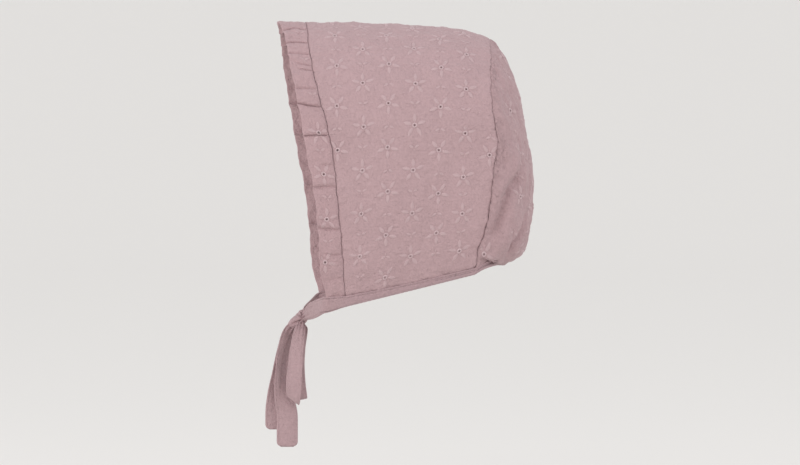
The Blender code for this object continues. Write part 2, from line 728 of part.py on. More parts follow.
if __name__ == "__main__":
    main()
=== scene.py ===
"""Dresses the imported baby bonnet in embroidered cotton, seen from the wearer's left in soft studio light.

It has shaped panels with eyelet flowers, a tucked ruffle, a gathered back, a bound neck edge and doubled ties
in a bow.
"""

import logging
import math
from collections.abc import Iterator
from contextlib import contextmanager
from dataclasses import dataclass, field
from enum import Enum

import bpy
import numpy as np
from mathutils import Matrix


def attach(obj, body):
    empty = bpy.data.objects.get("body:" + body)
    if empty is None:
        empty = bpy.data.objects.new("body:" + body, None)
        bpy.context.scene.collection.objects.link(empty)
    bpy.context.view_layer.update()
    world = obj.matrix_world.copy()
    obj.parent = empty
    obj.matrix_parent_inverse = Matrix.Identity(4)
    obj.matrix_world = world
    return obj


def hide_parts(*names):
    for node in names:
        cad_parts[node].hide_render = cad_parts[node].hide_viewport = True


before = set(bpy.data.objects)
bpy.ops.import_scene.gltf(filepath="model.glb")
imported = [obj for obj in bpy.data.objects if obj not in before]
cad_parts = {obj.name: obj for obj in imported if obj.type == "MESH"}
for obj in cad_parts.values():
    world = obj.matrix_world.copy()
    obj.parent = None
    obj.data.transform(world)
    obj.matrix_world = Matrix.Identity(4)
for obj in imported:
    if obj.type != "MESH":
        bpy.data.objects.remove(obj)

MM = 0.001
BODY = "root"
HEAD_CENTRE = np.array((0.0, -0.01, -0.075))
HALF_TURN = math.pi
QUARTER_TURN = math.pi / 2
FULL_TURN = 2.0 * math.pi
Number = float | np.ndarray
Socket = bpy.types.NodeSocket
Part = tuple[np.ndarray, list, np.ndarray]
log = logging.getLogger("bonnet")


def mix(start: Number, end: Number, share: Number) -> Number:
    """Straight mix of two values.

    Args:
        start: Value at share 0.
        end: Value at share 1.
        share: How far along, a number or an array.

    Returns:
        The mixed value.
    """
    return start + (end - start) * share


def fade(value: np.ndarray, low: float, high: float) -> np.ndarray:
    """Smooth step.

    Args:
        value: Where to read it.
        low: Place where the step starts from 0.
        high: Place where it reaches 1.

    Returns:
        0 below low, 1 above high, and a smooth rise between.
    """
    t = np.clip((value - low) / (high - low), 0.0, 1.0)
    return t * t * (3.0 - 2.0 * t)


def unit(vectors: np.ndarray) -> np.ndarray:
    """Vectors brought to length 1."""
    return vectors / np.maximum(np.linalg.norm(vectors, axis=-1, keepdims=True), 1e-12)


def lengths_along(points: np.ndarray, axis: int = 0) -> np.ndarray:
    """How far each point is along its line, from the first one.

    Args:
        points: Points of the line, or of a grid of lines, with the coordinates last.
        axis: The axis that the lines run along.

    Returns:
        Lengths in metres, 0 at the first point.
    """
    first = np.take(points, [0], axis=axis)
    return np.linalg.norm(np.diff(points, axis=axis, prepend=first), axis=-1).cumsum(axis=axis)


def waves(where: Number, rows: tuple[tuple[float, float, float], ...]) -> Number:
    """Sine waves laid over one another.

    Args:
        where: Where to read them.
        rows: (height, turn for each step, start) of each wave.

    Returns:
        Their sum.
    """
    return sum(height * np.sin(count * where + start) for height, count, start in rows)


@dataclass(frozen=True)
class Line:
    """A smooth line through rows of (place, value...), without overshoot."""

    rows: tuple[tuple[float, ...], ...]

    def at(self, where: np.ndarray | float, column: int = 1) -> np.ndarray:
        """Reads the line.

        Args:
            where: Places along it.
            column: Which value of the rows to read.

        Returns:
            The value at each place.
        """
        table = np.array(self.rows)
        places, values = table[:, 0], table[:, column]
        steps = np.diff(values) / np.diff(places)
        product = steps[:-1] * steps[1:]
        total = np.where(product > 0.0, steps[:-1] + steps[1:], 1.0)
        slopes = np.concatenate(
            ([steps[0]], np.where(product > 0.0, 2.0 * product / total, 0.0), [steps[-1]])
        )
        where = np.clip(where, places[0], places[-1])
        k = np.clip(np.searchsorted(places, where, side="right") - 1, 0, len(steps) - 1)
        span = places[k + 1] - places[k]
        t = (where - places[k]) / span
        start = (1 + 2 * t) * (1 - t) ** 2 * values[k] + t * (1 - t) ** 2 * span * slopes[k]
        return start + t * t * (3 - 2 * t) * values[k + 1] + t * t * (t - 1) * span * slopes[k + 1]


def even_line(rows: tuple[tuple[float, ...], ...]) -> Line:
    """A line whose rows have no place column, because they are evenly spaced."""
    return Line(tuple((k / (len(rows) - 1), *row) for k, row in enumerate(rows)))


TOP_LINE = Line((
    (0.0, 0.0), (0.14, 0.035), (0.3, 0.07), (0.52, 0.16), (0.68, 0.28), (0.815, 0.42), (0.9, 0.58),
    (0.952, 0.75), (1.0, 1.0),
))
WIDTH_LINE = Line(((0.0, 0.94), (0.3, 0.985), (0.55, 1.0), (0.8, 0.97), (1.0, 0.915)))
FACE_SEAM = Line((
    (0.0, 0.0), (0.1, 0.05), (0.22, 0.2), (0.35, 0.45), (0.5, 0.66), (0.65, 0.77), (0.8, 0.88), (1.0, 1.0),
))
BACK_SEAM = Line((
    (0.0, 0.0), (0.05, 0.07), (0.24, 0.19), (0.33, 0.11), (0.4, -0.03), (0.46, -0.11), (0.55, 0.08),
    (0.655, 0.18), (0.765, 0.33), (0.84, 0.52), (0.9, 0.8), (1.0, 0.96),
))
BACK_LINE = Line((
    (0.0, 0.0, 0.0), (0.05, 0.185, 0.029), (0.125, 0.37, 0.087), (0.2, 0.507, 0.153),
    (0.3, 0.644, 0.241), (0.4, 0.759, 0.329), (0.55, 0.88, 0.461), (0.645, 0.965, 0.5625),
    (0.722, 1.0, 0.672), (0.776, 0.967, 0.769), (0.821, 0.907, 0.849), (0.853, 0.83, 0.9),
    (0.876, 0.759, 0.937), (0.896, 0.644, 0.965), (0.914, 0.53, 0.985), (0.929, 0.43, 0.992),
    (0.943, 0.365, 0.975), (0.957, 0.345, 0.953), (0.967, 0.3, 0.94), (0.976, 0.237, 0.949),
    (1.0, 0.2, 0.985),
))
RUFFLE_LINE = Line((
    (0.0, 1.0), (0.09, 0.79), (0.2, 0.79), (0.3, 0.85), (0.37, 0.9), (0.47, 0.92), (0.58, 0.82),
    (0.71, 0.79), (0.86, 0.83), (0.91, 0.72), (1.0, 0.6),
))
BINDING_LINE = Line(((0.0, 1.0), (0.25, 0.84), (0.5, 0.76), (1.0, 0.68)))


@dataclass(frozen=True)
class HeadForm:
    """The bonnet's outer faces before any fine relief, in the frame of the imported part."""

    cloth: float = 1.2 * MM
    crown_length: float = 114.0 * MM
    crown_drop: float = 10.6 * MM
    face_height: float = 174.1 * MM
    half_width: float = 64.0 * MM
    face_top_y: float = -63.2 * MM
    face_lean: float = 23.0 * MM
    back_lean: float = 12.2 * MM
    neck_slope: float = 0.246
    neck_angle: float = math.radians(136.0)
    widest: float = 0.41
    back_depth: float = 27.0 * MM
    back_height: float = 140.8 * MM
    seam_gap: float = 0.22 * MM
    ruffle_width: float = 16.8 * MM
    ruffle_flare: float = 1.6 * MM
    ruffle_drop: float = 3.5 * MM
    ruffle_hem: float = 0.3 * MM
    ruffle_gap: float = 0.12 * MM
    seam_wander: float = 0.22 * MM
    face_waves: tuple[tuple[float, float, float], ...] = ((1.0, 61.0, 0.0), (0.6, 143.0, 1.0))
    back_waves: tuple[tuple[float, float, float], ...] = ((1.0, 74.0, 0.5), (0.7, 171.0, 0.0))

    def top_z(self, y: np.ndarray) -> np.ndarray:
        """Height of the crown's outer face over the mid-plane.

        Args:
            y: Places along the head.

        Returns:
            Heights in metres.
        """
        seat = TOP_LINE.at(-self.face_top_y / self.crown_length)
        share = (y - self.face_top_y) / self.crown_length
        return self.cloth + self.crown_drop * (seat - TOP_LINE.at(share))

    def neck_z(self, y: np.ndarray) -> np.ndarray:
        """Height of the panels' raw lower edge."""
        corner = self.face_top_y + self.face_lean
        return self.top_z(self.face_top_y) - self.face_height + self.neck_slope * (y - corner)

    def height_share(self, angle: np.ndarray) -> np.ndarray:
        """How far down its section a point is.

        Args:
            angle: Its turn from the top.

        Returns:
            Shares, 0 on the mid-plane and 1 at the neck.
        """
        turn = np.abs(angle)
        lower = self.widest + (1.0 - self.widest) * np.cos(turn) / math.cos(self.neck_angle)
        return np.where(turn < QUARTER_TURN, self.widest * (1.0 - np.cos(turn)), lower)

    def angle_at(self, share: np.ndarray | float) -> np.ndarray:
        """Angle from the top of a point this far down its section.

        Args:
            share: How far down it is, 0 to 1.

        Returns:
            Angles in radians.
        """
        upper = np.arccos(np.clip(1.0 - np.minimum(share, self.widest) / self.widest, -1.0, 1.0))
        below = np.maximum((share - self.widest) / (1.0 - self.widest), 0.0)
        return np.where(share < self.widest, upper, np.arccos(below * math.cos(self.neck_angle)))

    def section(self, y: np.ndarray, angle: np.ndarray) -> np.ndarray:
        """Outer face of the crown.

        Args:
            y: Places along the head.
            angle: Turns from the top, positive on the wearer's left.

        Returns:
            Points, with the coordinates last.
        """
        y, angle = np.broadcast_arrays(y, angle)
        half = self.half_width * WIDTH_LINE.at((y - self.face_top_y) / self.crown_length)
        z = mix(self.top_z(y), self.neck_z(y), self.height_share(angle))
        return np.stack((half * np.sin(angle), y, z), axis=-1)

    def face_seam_y(self, share: Number) -> Number:
        """Where the crown meets the ruffle, with the small wander of a sewn line."""
        seam = self.face_top_y + self.face_lean * FACE_SEAM.at(share)
        return seam + self.seam_wander * waves(share, self.face_waves)

    def back_seam_y(self, share: Number) -> Number:
        """Where the crown meets the back panel, with the wander that the gathers give the line."""
        seam = self.face_top_y + self.crown_length - self.back_lean * BACK_SEAM.at(share)
        return seam + self.seam_wander * waves(share, self.back_waves)

    def back(self, share: np.ndarray, turn: np.ndarray) -> np.ndarray:
        """Outer face of the back panel.

        Args:
            share: How far down the seam, 0 to 1.
            turn: Side to side, from -90 to 90 degrees towards the left, in radians.

        Returns:
            Points, with the coordinates last.
        """
        share, turn = np.broadcast_arrays(share, turn)
        angle = self.neck_angle * share
        seam = self.section(self.back_seam_y(self.height_share(angle)), angle)
        top = self.section(self.back_seam_y(0.0), 0.0)
        gap = self.seam_gap * mix(0.25, 1.0, fade(share, 0.2, 0.3))
        middle_y = top[1] + gap + self.back_depth * BACK_LINE.at(share, 1)
        middle_z = top[2] - self.back_height * BACK_LINE.at(share, 2)
        toward = np.cos(turn)
        hanging = mix(toward, 1.0 - (turn / (QUARTER_TURN)) ** 4, fade(share, 0.5, 0.85))
        y = mix(seam[..., 1] + gap, middle_y, toward)
        return np.stack((seam[..., 0] * np.sin(turn), y, mix(seam[..., 2], middle_z, hanging)), axis=-1)

    def ruffle_width_at(self, angle: np.ndarray) -> np.ndarray:
        """Width of the ruffle from its seam to its front fold."""
        return self.ruffle_width * RUFFLE_LINE.at(self.height_share(angle)) - self.ruffle_hem

    def ruffle(self, angle: np.ndarray, across: np.ndarray) -> np.ndarray:
        """Outer face of the ruffle without its puffs.

        Args:
            angle: Turns from the top.
            across: Shares of the width, 0 at the seam and 1 at the fold.

        Returns:
            Points, with the coordinates last.
        """
        angle, across = np.broadcast_arrays(angle, across)
        share = self.height_share(angle)
        seam = self.section(self.face_seam_y(share), angle)
        flare = self.ruffle_flare * across * np.sin(np.minimum(np.abs(angle), QUARTER_TURN))
        flare = flare * fade(1.0 - share, 0.035, 0.2)
        point = seam + self.ruffle_out(angle) * flare[..., None]
        reach = self.ruffle_width_at(angle) + self.ruffle_hem - self.ruffle_gap
        point[..., 1] -= self.ruffle_gap + reach * across
        point[..., 2] -= self.ruffle_drop * across * fade(share, 0.75, 1.0)
        return point

    def ruffle_out(self, angle: np.ndarray) -> np.ndarray:
        """Outward direction of the ruffle, square to the face edge.

        Args:
            angle: Turns from the top.

        Returns:
            Unit directions, with the coordinates last.
        """
        step = math.radians(0.5)
        share = self.height_share(angle)
        y = self.face_seam_y(share)
        along = self.section(y, angle + step) - self.section(y, angle - step)
        out = np.stack((along[..., 2], np.zeros_like(share), -along[..., 0]), axis=-1)
        middle = self.section(y, angle) - HEAD_CENTRE
        facing = np.sign(np.sum(out * middle, axis=-1, keepdims=True))
        return unit(out * facing)


FORM = HeadForm()


@dataclass(frozen=True)
class Crumple:
    """Soft dents of worn cotton, as crossing waves with fixed seeds."""

    depth: float
    length: float
    seed: int
    stretch: tuple[float, float, float] = (1.0, 1.0, 1.0)
    count: int = 16
    spread: tuple[float, float] = (0.6, 1.7)

    def at(self, points: np.ndarray) -> np.ndarray:
        """Height of the dents.

        Args:
            points: Where to read them, with the coordinates last.

        Returns:
            Heights in metres, about as often up as down.
        """
        random = np.random.default_rng(self.seed)
        total = np.zeros(points.shape[:-1])
        scaled = points * np.array(self.stretch)
        for _ in range(self.count):
            way = unit(random.normal(size=3))
            wave = self.length * random.uniform(*self.spread)
            total += np.sin(FULL_TURN * (scaled @ way) / wave + random.uniform(0.0, FULL_TURN))
        return self.depth * total / math.sqrt(self.count)


def linear(value: str) -> tuple[float, float, float, float]:
    """sRGB hex colour turned linear.

    Args:
        value: Six hex digits.

    Returns:
        Linear red, green and blue, and an alpha of 1.
    """
    levels = [int(value[k : k + 2], 16) / 255.0 for k in (0, 2, 4)]
    return (*[v / 12.92 if v <= 0.04045 else ((v + 0.055) / 1.055) ** 2.4 for v in levels], 1.0)


class FinishNodes:
    """A new material, and the few kinds of node that the finishes are made of."""

    def __init__(self, name: str, numbers: dict[str, float | tuple[float, ...]]) -> None:
        """Makes the material.

        Args:
            name: Its name.
            numbers: What is the same all over, by the names of the shader's own sockets.
        """
        self.material = bpy.data.materials.new(name)
        self.material.use_nodes = True
        self.tree = self.material.node_tree
        self.shader = self.tree.nodes["Principled BSDF"]
        for socket, value in numbers.items():
            self.shader.inputs[socket].default_value = value
        places = self.add("ShaderNodeTexCoord").outputs
        self.uv, self.place = places["UV"], places["Object"]

    def add(self, kind: str, settings: dict | None = None, links: dict | None = None) -> bpy.types.Node:
        """Adds a node.

        Args:
            kind: Its type name.
            settings: Properties by name, and socket values by socket name or number.
            links: Sockets that feed it, by socket name or number.

        Returns:
            The node.
        """
        node = self.tree.nodes.new(kind)
        for name, value in (settings or {}).items():
            if isinstance(name, int) or name in node.inputs:
                node.inputs[name].default_value = value
            else:
                setattr(node, name, value)
        for name, source in (links or {}).items():
            self.tree.links.new(source, node.inputs[name])
        return node

    def noise(
        self, size: float, detail: float, roughness: float = 0.5, place: Socket | None = None
    ) -> Socket:
        """Soft spots of one size.

        Args:
            size: Width of a spot in metres.
            detail: How many finer layers they have.
            roughness: How strong those layers are.
            place: The socket that places them, or the object's own places.

        Returns:
            A height socket.
        """
        settings = {"Scale": 1.0 / size, "Detail": detail, "Roughness": roughness}
        source = self.place if place is None else place
        return self.add("ShaderNodeTexNoise", settings, {"Vector": source}).outputs["Fac"]

    def threads(self, way: str, pitch: float, settings: dict[str, float]) -> Socket:
        """Threads that lie side by side.

        Args:
            way: X or Y, the direction that they are counted in.
            pitch: Distance from one to the next in metres.
            settings: How uneven they are, by socket name.

        Returns:
            A height socket.
        """
        # Blender's bands are the sine of 20 times the scaled place
        fixed = {"wave_type": "BANDS", "bands_direction": way, "Scale": FULL_TURN / (20.0 * pitch)}
        return self.add("ShaderNodeTexWave", fixed | settings, {"Vector": self.uv}).outputs["Fac"]

    def ranged(
        self, source: Socket, low: float, high: float, start: float = 0.0, end: float = 1.0
    ) -> Socket:
        """A height turned into a tone.

        Args:
            source: The height's socket.
            low: The tone at the start.
            high: The tone at the end.
            start: The height that gives the low tone.
            end: The height that gives the high one.

        Returns:
            The tone's socket.
        """
        settings = {"From Min": start, "From Max": end, "To Min": low, "To Max": high}
        return self.add("ShaderNodeMapRange", settings, {"Value": source}).outputs[0]

    def joined(self, operation: str, *sources: Socket) -> Socket:
        """Sockets joined one after another.

        Args:
            operation: ADD or MULTIPLY.
            *sources: The sockets, in order.

        Returns:
            The socket of the result.
        """
        total = sources[0]
        for source in sources[1:]:
            total = self.add("ShaderNodeMath", {"operation": operation}, {0: total, 1: source}).outputs[0]
        return total

    def tint(self, colour: str, *tones: Socket) -> None:
        """Gives the shader its colour, lighter and darker by the tones.

        Args:
            colour: The colour as sRGB hex.
            *tones: What it is multiplied by.
        """
        settings = {"operation": "SCALE", 0: linear(colour)[:3]}
        shown = self.add("ShaderNodeVectorMath", settings, {"Scale": self.joined("MULTIPLY", *tones)})
        self.tree.links.new(shown.outputs[0], self.shader.inputs["Base Color"])

    def bumps(self, *layers: tuple[Socket, float, float]) -> None:
        """Lays bumps over one another on the shader.

        Args:
            *layers: (height socket, strength, distance in metres) of each, from the lowest.
        """
        normal = {}
        for height, strength, distance in layers:
            settings = {"Strength": strength, "Distance": distance}
            bump = self.add("ShaderNodeBump", settings, {"Height": height} | normal)
            normal = {"Normal": bump.outputs[0]}
        self.tree.links.new(normal["Normal"], self.shader.inputs["Normal"])


@dataclass(frozen=True)
class Cotton:
    """Plain-woven cotton lawn, garment washed, which leaves it matt with a fine soft crinkle."""

    name: str
    colour: str
    weave: float = 0.85 * MM
    slub: tuple[float, float] = (0.9 * MM, 8.0 * MM)
    crinkle: float = 1.5 * MM
    dent: float = 4.5 * MM
    cloud: float = 24.0 * MM

    def make(self) -> bpy.types.Material:
        """Builds the material.

        Returns:
            The material, whose threads follow the piece's own UV map in metres.
        """
        # Cotton fibre: IOR 1.53, no metal, and rough from its loose fibre ends
        nodes = FinishNodes(self.name, {
            "Metallic": 0.0,
            "Roughness": 0.92,
            "IOR": 1.53,
            "Specular IOR Level": 0.25,
            "Sheen Weight": 0.12,
            "Sheen Roughness": 0.55,
        })
        # Lawn has a thread each 0.3 mm, too fine to show, so threads are drawn nearly three times as coarse
        uneven = {"Distortion": 0.6, "Detail": 1.0, "Detail Scale": 0.6}
        cross = nodes.joined("MULTIPLY", *[nodes.threads(way, self.weave, uneven) for way in "XY"])
        slubs = nodes.joined("ADD", *[self.slubs(nodes, size) for size in (self.slub, self.slub[::-1])])
        fine = nodes.noise(self.crinkle, 3.0, 0.55)
        nodes.tint(
            self.colour,
            # Painted shade and painted light: the crinkle's heights, which also bump the face, darken its
            # hollows and lighten its tops
            nodes.ranged(fine, 0.95, 1.045, 0.3, 0.7),
            nodes.ranged(nodes.noise(self.cloud, 1.0, 0.55), 0.975, 1.02, 0.3, 0.7),
            # Painted shade in the gaps between the threads of the weave
            nodes.ranged(cross, 0.955, 1.01),
            nodes.ranged(slubs, 0.97, 1.03, 0.7, 1.3),
        )
        nodes.bumps(
            (slubs, 0.5, 0.3 * MM),
            (cross, 0.4, 0.14 * MM),
            (fine, 0.9, 1.0 * MM),
            (nodes.noise(self.dent, 2.0, 0.55), 0.8, 1.6 * MM),
        )
        return nodes.material

    def slubs(self, nodes: FinishNodes, size: tuple[float, float]) -> Socket:
        """Thicker and thinner stretches of yarn along one way of the weave.

        Args:
            nodes: Where they go.
            size: Their width and length in metres, by the two ways of the UV map.

        Returns:
            A height socket.
        """
        settings = {"operation": "MULTIPLY", 1: (1.0 / size[0], 1.0 / size[1], 1.0)}
        stretched = nodes.add("ShaderNodeVectorMath", settings, {0: nodes.uv})
        return nodes.noise(1.0, 2.0, place=stretched.outputs[0])


@dataclass(frozen=True)
class Floss:
    """Mercerised cotton embroidery floss, laid side by side in satin stitch, which gives it a soft lustre."""

    name: str
    colour: str
    strand: float = 0.42 * MM
    wear: float = 1.1 * MM

    def make(self) -> bpy.types.Material:
        """Builds the material.

        Returns:
            The material, whose strands are counted along the piece's own UV map in metres.
        """
        # Mercerised cotton: IOR 1.53 and smoother than lawn
        nodes = FinishNodes(self.name, {
            "Metallic": 0.0,
            "Roughness": 0.62,
            "IOR": 1.53,
            "Specular IOR Level": 0.4,
            "Sheen Weight": 0.15,
        })
        strands = nodes.threads("X", self.strand, {"Distortion": 0.3})
        worn = nodes.ranged(nodes.noise(self.wear, 2.0), 0.9, 1.08)
        # The strands' heights, which also bump the face, tint it too: painted shade between the strands
        nodes.tint(self.colour, nodes.ranged(strands, 0.9, 1.03), worn)
        nodes.bumps((strands, 0.6, 0.15 * MM))
        return nodes.material


@dataclass(frozen=True)
class Paper:
    """Matt seamless studio paper, even and without gloss."""

    name: str = "studio_paper"
    colour: str = "E9E7E4"
    tooth: float = MM / 0.9

    def make(self) -> bpy.types.Material:
        """Builds the material.

        Returns:
            The material, with the faint tooth of uncoated paper.
        """
        numbers = {"Base Color": linear(self.colour), "Roughness": 0.95, "Specular IOR Level": 0.2}
        nodes = FinishNodes(self.name, numbers)
        nodes.bumps((nodes.noise(self.tooth, 2.0), 0.1, 0.1 * MM))
        return nodes.material


def make_object(
    name: str, points: np.ndarray, faces: list, uv: np.ndarray, material: bpy.types.Material
) -> bpy.types.Object:
    """A mesh object at the origin.

    Args:
        name: Its name.
        points: Vertex places in the row frame.
        faces: Vertex numbers of each face.
        uv: One UV pair a vertex, in metres.
        material: Its finish.

    Returns:
        The object, smooth shaded.
    """
    mesh = bpy.data.meshes.new(name)
    mesh.from_pydata(points.tolist(), [], faces)
    layer = mesh.uv_layers.new(name="cloth")
    corners = np.empty(len(mesh.loops), np.int32)
    mesh.loops.foreach_get("vertex_index", corners)
    layer.data.foreach_set("uv", uv[corners].astype(np.float32).ravel())
    mesh.materials.append(material)
    mesh.shade_smooth()
    mesh.update()
    obj = bpy.data.objects.new(name, mesh)
    bpy.context.scene.collection.objects.link(obj)
    return obj


def pick(obj: bpy.types.Object) -> None:
    """Makes an object the active one, and the only one that is selected.

    Args:
        obj: The object.
    """
    bpy.ops.object.select_all(action="DESELECT")
    bpy.context.view_layer.objects.active = obj
    obj.select_set(True)


@contextmanager
def editing(obj: bpy.types.Object) -> Iterator[None]:
    """Holds an object in edit mode with all of its mesh selected.

    Args:
        obj: The object.

    Yields:
        Nothing, while the mesh can be edited.
    """
    pick(obj)
    bpy.ops.object.mode_set(mode="EDIT")
    bpy.ops.mesh.select_all(action="SELECT")
    yield
    bpy.ops.object.mode_set(mode="OBJECT")
    obj.select_set(False)


def weld(obj: bpy.types.Object, reach: float = 0.02 * MM) -> None:
    """Merges the points that meet, as where a panel's row closes on one point."""
    with editing(obj):
        bpy.ops.mesh.remove_doubles(threshold=reach)


def face_out(obj: bpy.types.Object) -> None:
    """Turns each closed part of a mesh so that its faces point outwards."""
    with editing(obj):
        bpy.ops.mesh.normals_make_consistent(inside=False)


def take_mesh() -> tuple[np.ndarray, list]:
    """Reads the object that Blender has just added, and removes it.

    Returns:
        Its points and faces.
    """
    made = bpy.context.object
    points = np.array([v.co[:] for v in made.data.vertices])
    faces = [tuple(p.vertices) for p in made.data.polygons]
    bpy.data.objects.remove(made)
    return points, faces


def ball(
    steps: tuple[int, int], axis: str, size: tuple[float, float, float] | None = None
) -> tuple[np.ndarray, list]:
    """A ball of width 1, turned off the Z axis.

    Args:
        steps: How many segments and rings it has.
        axis: The axis that it is turned about.
        size: How much it is stretched, by axis.

    Returns:
        Its points and faces.
    """
    bpy.ops.mesh.primitive_uv_sphere_add(segments=steps[0], ring_count=steps[1], radius=0.5)
    with editing(bpy.context.object):
        bpy.ops.transform.rotate(value=QUARTER_TURN, orient_axis=axis, center_override=(0.0, 0.0, 0.0))
        if size is not None:
            bpy.ops.transform.resize(value=size)
    return take_mesh()


def apply_wall(obj: bpy.types.Object, wall: float) -> None:
    """Gives a sheet its cloth thickness, inwards.

    Args:
        obj: The sheet.
        wall: The cloth's thickness.
    """
    pick(obj)
    solid = obj.modifiers.new("wall", "SOLIDIFY")
    solid.thickness = wall
    solid.offset = -1.0
    bpy.ops.object.modifier_apply(modifier=solid.name)
    obj.select_set(False)


def cloth_grid(
    name: str,
    points: np.ndarray,
    holes: list[tuple[int, int]],
    radius: float,
    wall: float,
    material: bpy.types.Material,
    shown_row: int | None = None,
) -> bpy.types.Object:
    """A sheet of cloth from a grid of points, with round eyelets cut out round some of its nodes.

    Args:
        name: The object's name.
        points: Rows and columns of places, with the coordinates last.
        holes: (row, column) of each eyelet.
        radius: Radius of an eyelet.
        wall: Thickness of the cloth.
        material: Its finish.
        shown_row: A row whose outer face points away from the head, or the middle one.

    Returns:
        The sheet, with its outer face on the points.
    """
    rows, columns = points.shape[:2]
    down, along = lengths_along(points), lengths_along(points, 1)
    along = along - along[:, columns // 2 : columns // 2 + 1]
    uv = np.stack((down, along), axis=-1).reshape(-1, 2)
    index = np.arange(rows * columns).reshape(rows, columns)
    quads = np.stack((index[:-1, :-1], index[1:, :-1], index[1:, 1:], index[:-1, 1:]), axis=-1)
    keep = np.ones((rows - 1, columns - 1), bool)
    for i, j in holes:
        keep[i - 1 : i + 1, j - 1 : j + 1] = False
    flat = points.reshape(-1, 3)
    faces = quads[keep]
    middle = quads[rows // 2 if shown_row is None else shown_row, columns // 2]
    normal = np.cross(flat[middle[1]] - flat[middle[0]], flat[middle[3]] - flat[middle[0]])
    turned = normal @ (flat[middle[0]] - HEAD_CENTRE) < 0.0
    added, added_uv, rims = [], [], []
    round_node = ((-1, -1), (0, -1), (1, -1), (1, 0), (1, 1), (0, 1), (-1, 1), (-1, 0))
    for i, j in holes:
        ring = [index[i + a, j + b] for a, b in round_node]
        first = rows * columns + len(added)
        centre = flat[index[i, j]]
        for corner in ring:
            arm = flat[corner] - centre
            share = radius / np.linalg.norm(arm)
            added.append(centre + arm * share)
            added_uv.append(mix(uv[index[i, j]], uv[corner], share))
        for k in range(8):
            n = (k + 1) % 8
            rims.append((ring[k], ring[n], first + n, first + k))
    faces = np.concatenate([faces, np.array(rims, int).reshape(-1, 4)])
    if turned:
        faces = faces[:, ::-1]
    if added:
        flat = np.concatenate([flat, np.array(added)])
        uv = np.concatenate([uv, np.array(added_uv)])
    used, renumbered = np.unique(faces, return_inverse=True)
    obj = make_object(name, flat[used], renumbered.reshape(faces.shape).tolist(), uv[used], material)
    weld(obj)
    apply_wall(obj, wall)
    return obj


def settle(piece: bpy.types.Object, slot: str, *nodes: str) -> None:
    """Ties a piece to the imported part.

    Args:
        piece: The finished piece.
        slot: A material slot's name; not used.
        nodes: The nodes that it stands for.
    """
    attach(piece, BODY)
    if nodes:
        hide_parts(*nodes)
    log.info("%s: %d faces", piece.name, len(piece.data.polygons))


class Petal(Enum):
    """Which way a flower's odd petal points."""

    UP = -1.0
    DOWN = 1.0

    @property
    def turn(self) -> float:
        """The odd petal's turn from straight down."""
        return 0.0 if self is Petal.DOWN else HALF_TURN


@dataclass(frozen=True)
class Leaf:
    """The size of one satin-stitched leaf: where its near tip is, its length and its greatest width."""

    start: float
    length: float
    width: float


@dataclass(frozen=True)
class Flower:
    """A broderie anglaise flower: an overcast eyelet with five satin-stitched petals round it."""

    eyelet: float = 0.62 * MM
    ring: float = 1.12 * MM
    ring_wire: float = 0.5 * MM
    ring_steps: tuple[int, int] = (14, 6)
    petals: int = 5
    petal: Leaf = Leaf(1.75 * MM, 5.5 * MM, 2.5 * MM)
    bud: Leaf = Leaf(0.3 * MM, 3.3 * MM, 1.7 * MM)
    stem: Leaf = Leaf(0.2 * MM, 1.9 * MM, 0.8 * MM)
    bud_lift: float = math.radians(28.0)
    rise: float = 0.42 * MM
    ball_steps: tuple[int, int] = (10, 9)
    taper: float = 0.16
    groove: tuple[float, float] = (0.35, 0.16)
    slant: float = 0.7

    def overcast_ring(self) -> Part:
        """The overcast edge of the eyelet.

        Returns:
            Its points, faces and UV pairs.
        """
        bpy.ops.mesh.primitive_torus_add(
            major_segments=self.ring_steps[0], minor_segments=self.ring_steps[1],
            major_radius=self.ring, minor_radius=self.ring_wire,
        )
        points, faces = take_mesh()
        turn = np.arctan2(points[:, 1], points[:, 0])
        return points, faces, np.stack((turn * self.ring, points[:, 2]), axis=-1)

    def leaf(self, size: Leaf, turn: float) -> Part:
        """One leaf or petal, lying on the cloth, with a groove down its middle.

        Args:
            size: Its size.
            turn: Which way it points, in radians from straight down.

        Returns:
            Its points, faces and UV pairs, with the stitches slanting off the groove.
        """
        points, faces = ball(self.ball_steps, "X")
        along = points[:, 1] * 2.0
        pointed = np.sqrt(np.maximum(1.0 - along**2, 0.0)) * (1.0 - self.taper * along)
        x = points[:, 0] * pointed * size.width
        depth, reach = self.groove
        z = points[:, 2] * 2.0 * self.rise * (1.0 - depth * np.exp(-((x / (reach * size.width)) ** 2)))
        y = size.start + (0.5 + points[:, 1]) * size.length
        uv = np.stack((y + self.slant * np.abs(x), x), axis=-1)
        cos, sin = math.cos(turn), math.sin(turn)
        return np.stack((x * cos + y * sin, y * cos - x * sin, z), axis=-1), faces, uv

    def parts(self, petal: Petal) -> list[Part]:
        """The flower's petals and ring.

        Args:
            petal: Which way its odd petal points.

        Returns:
            Points, faces and UV pairs of each.
        """
        turns = [petal.turn + k * FULL_TURN / self.petals for k in range(self.petals)]
        return [self.leaf(self.petal, turn) for turn in turns] + [self.overcast_ring()]

    def bud_parts(self, petal: Petal) -> list[Part]:
        """The small pair of leaves on a stem between two flowers.

        Args:
            petal: Which way the stem points.

        Returns:
            Points, faces and UV pairs of each.
        """
        turn = QUARTER_TURN - self.bud_lift * petal.value
        pair = [self.leaf(self.bud, side * turn) for side in (1, -1)]
        return [*pair, self.leaf(self.stem, HALF_TURN - petal.turn)]


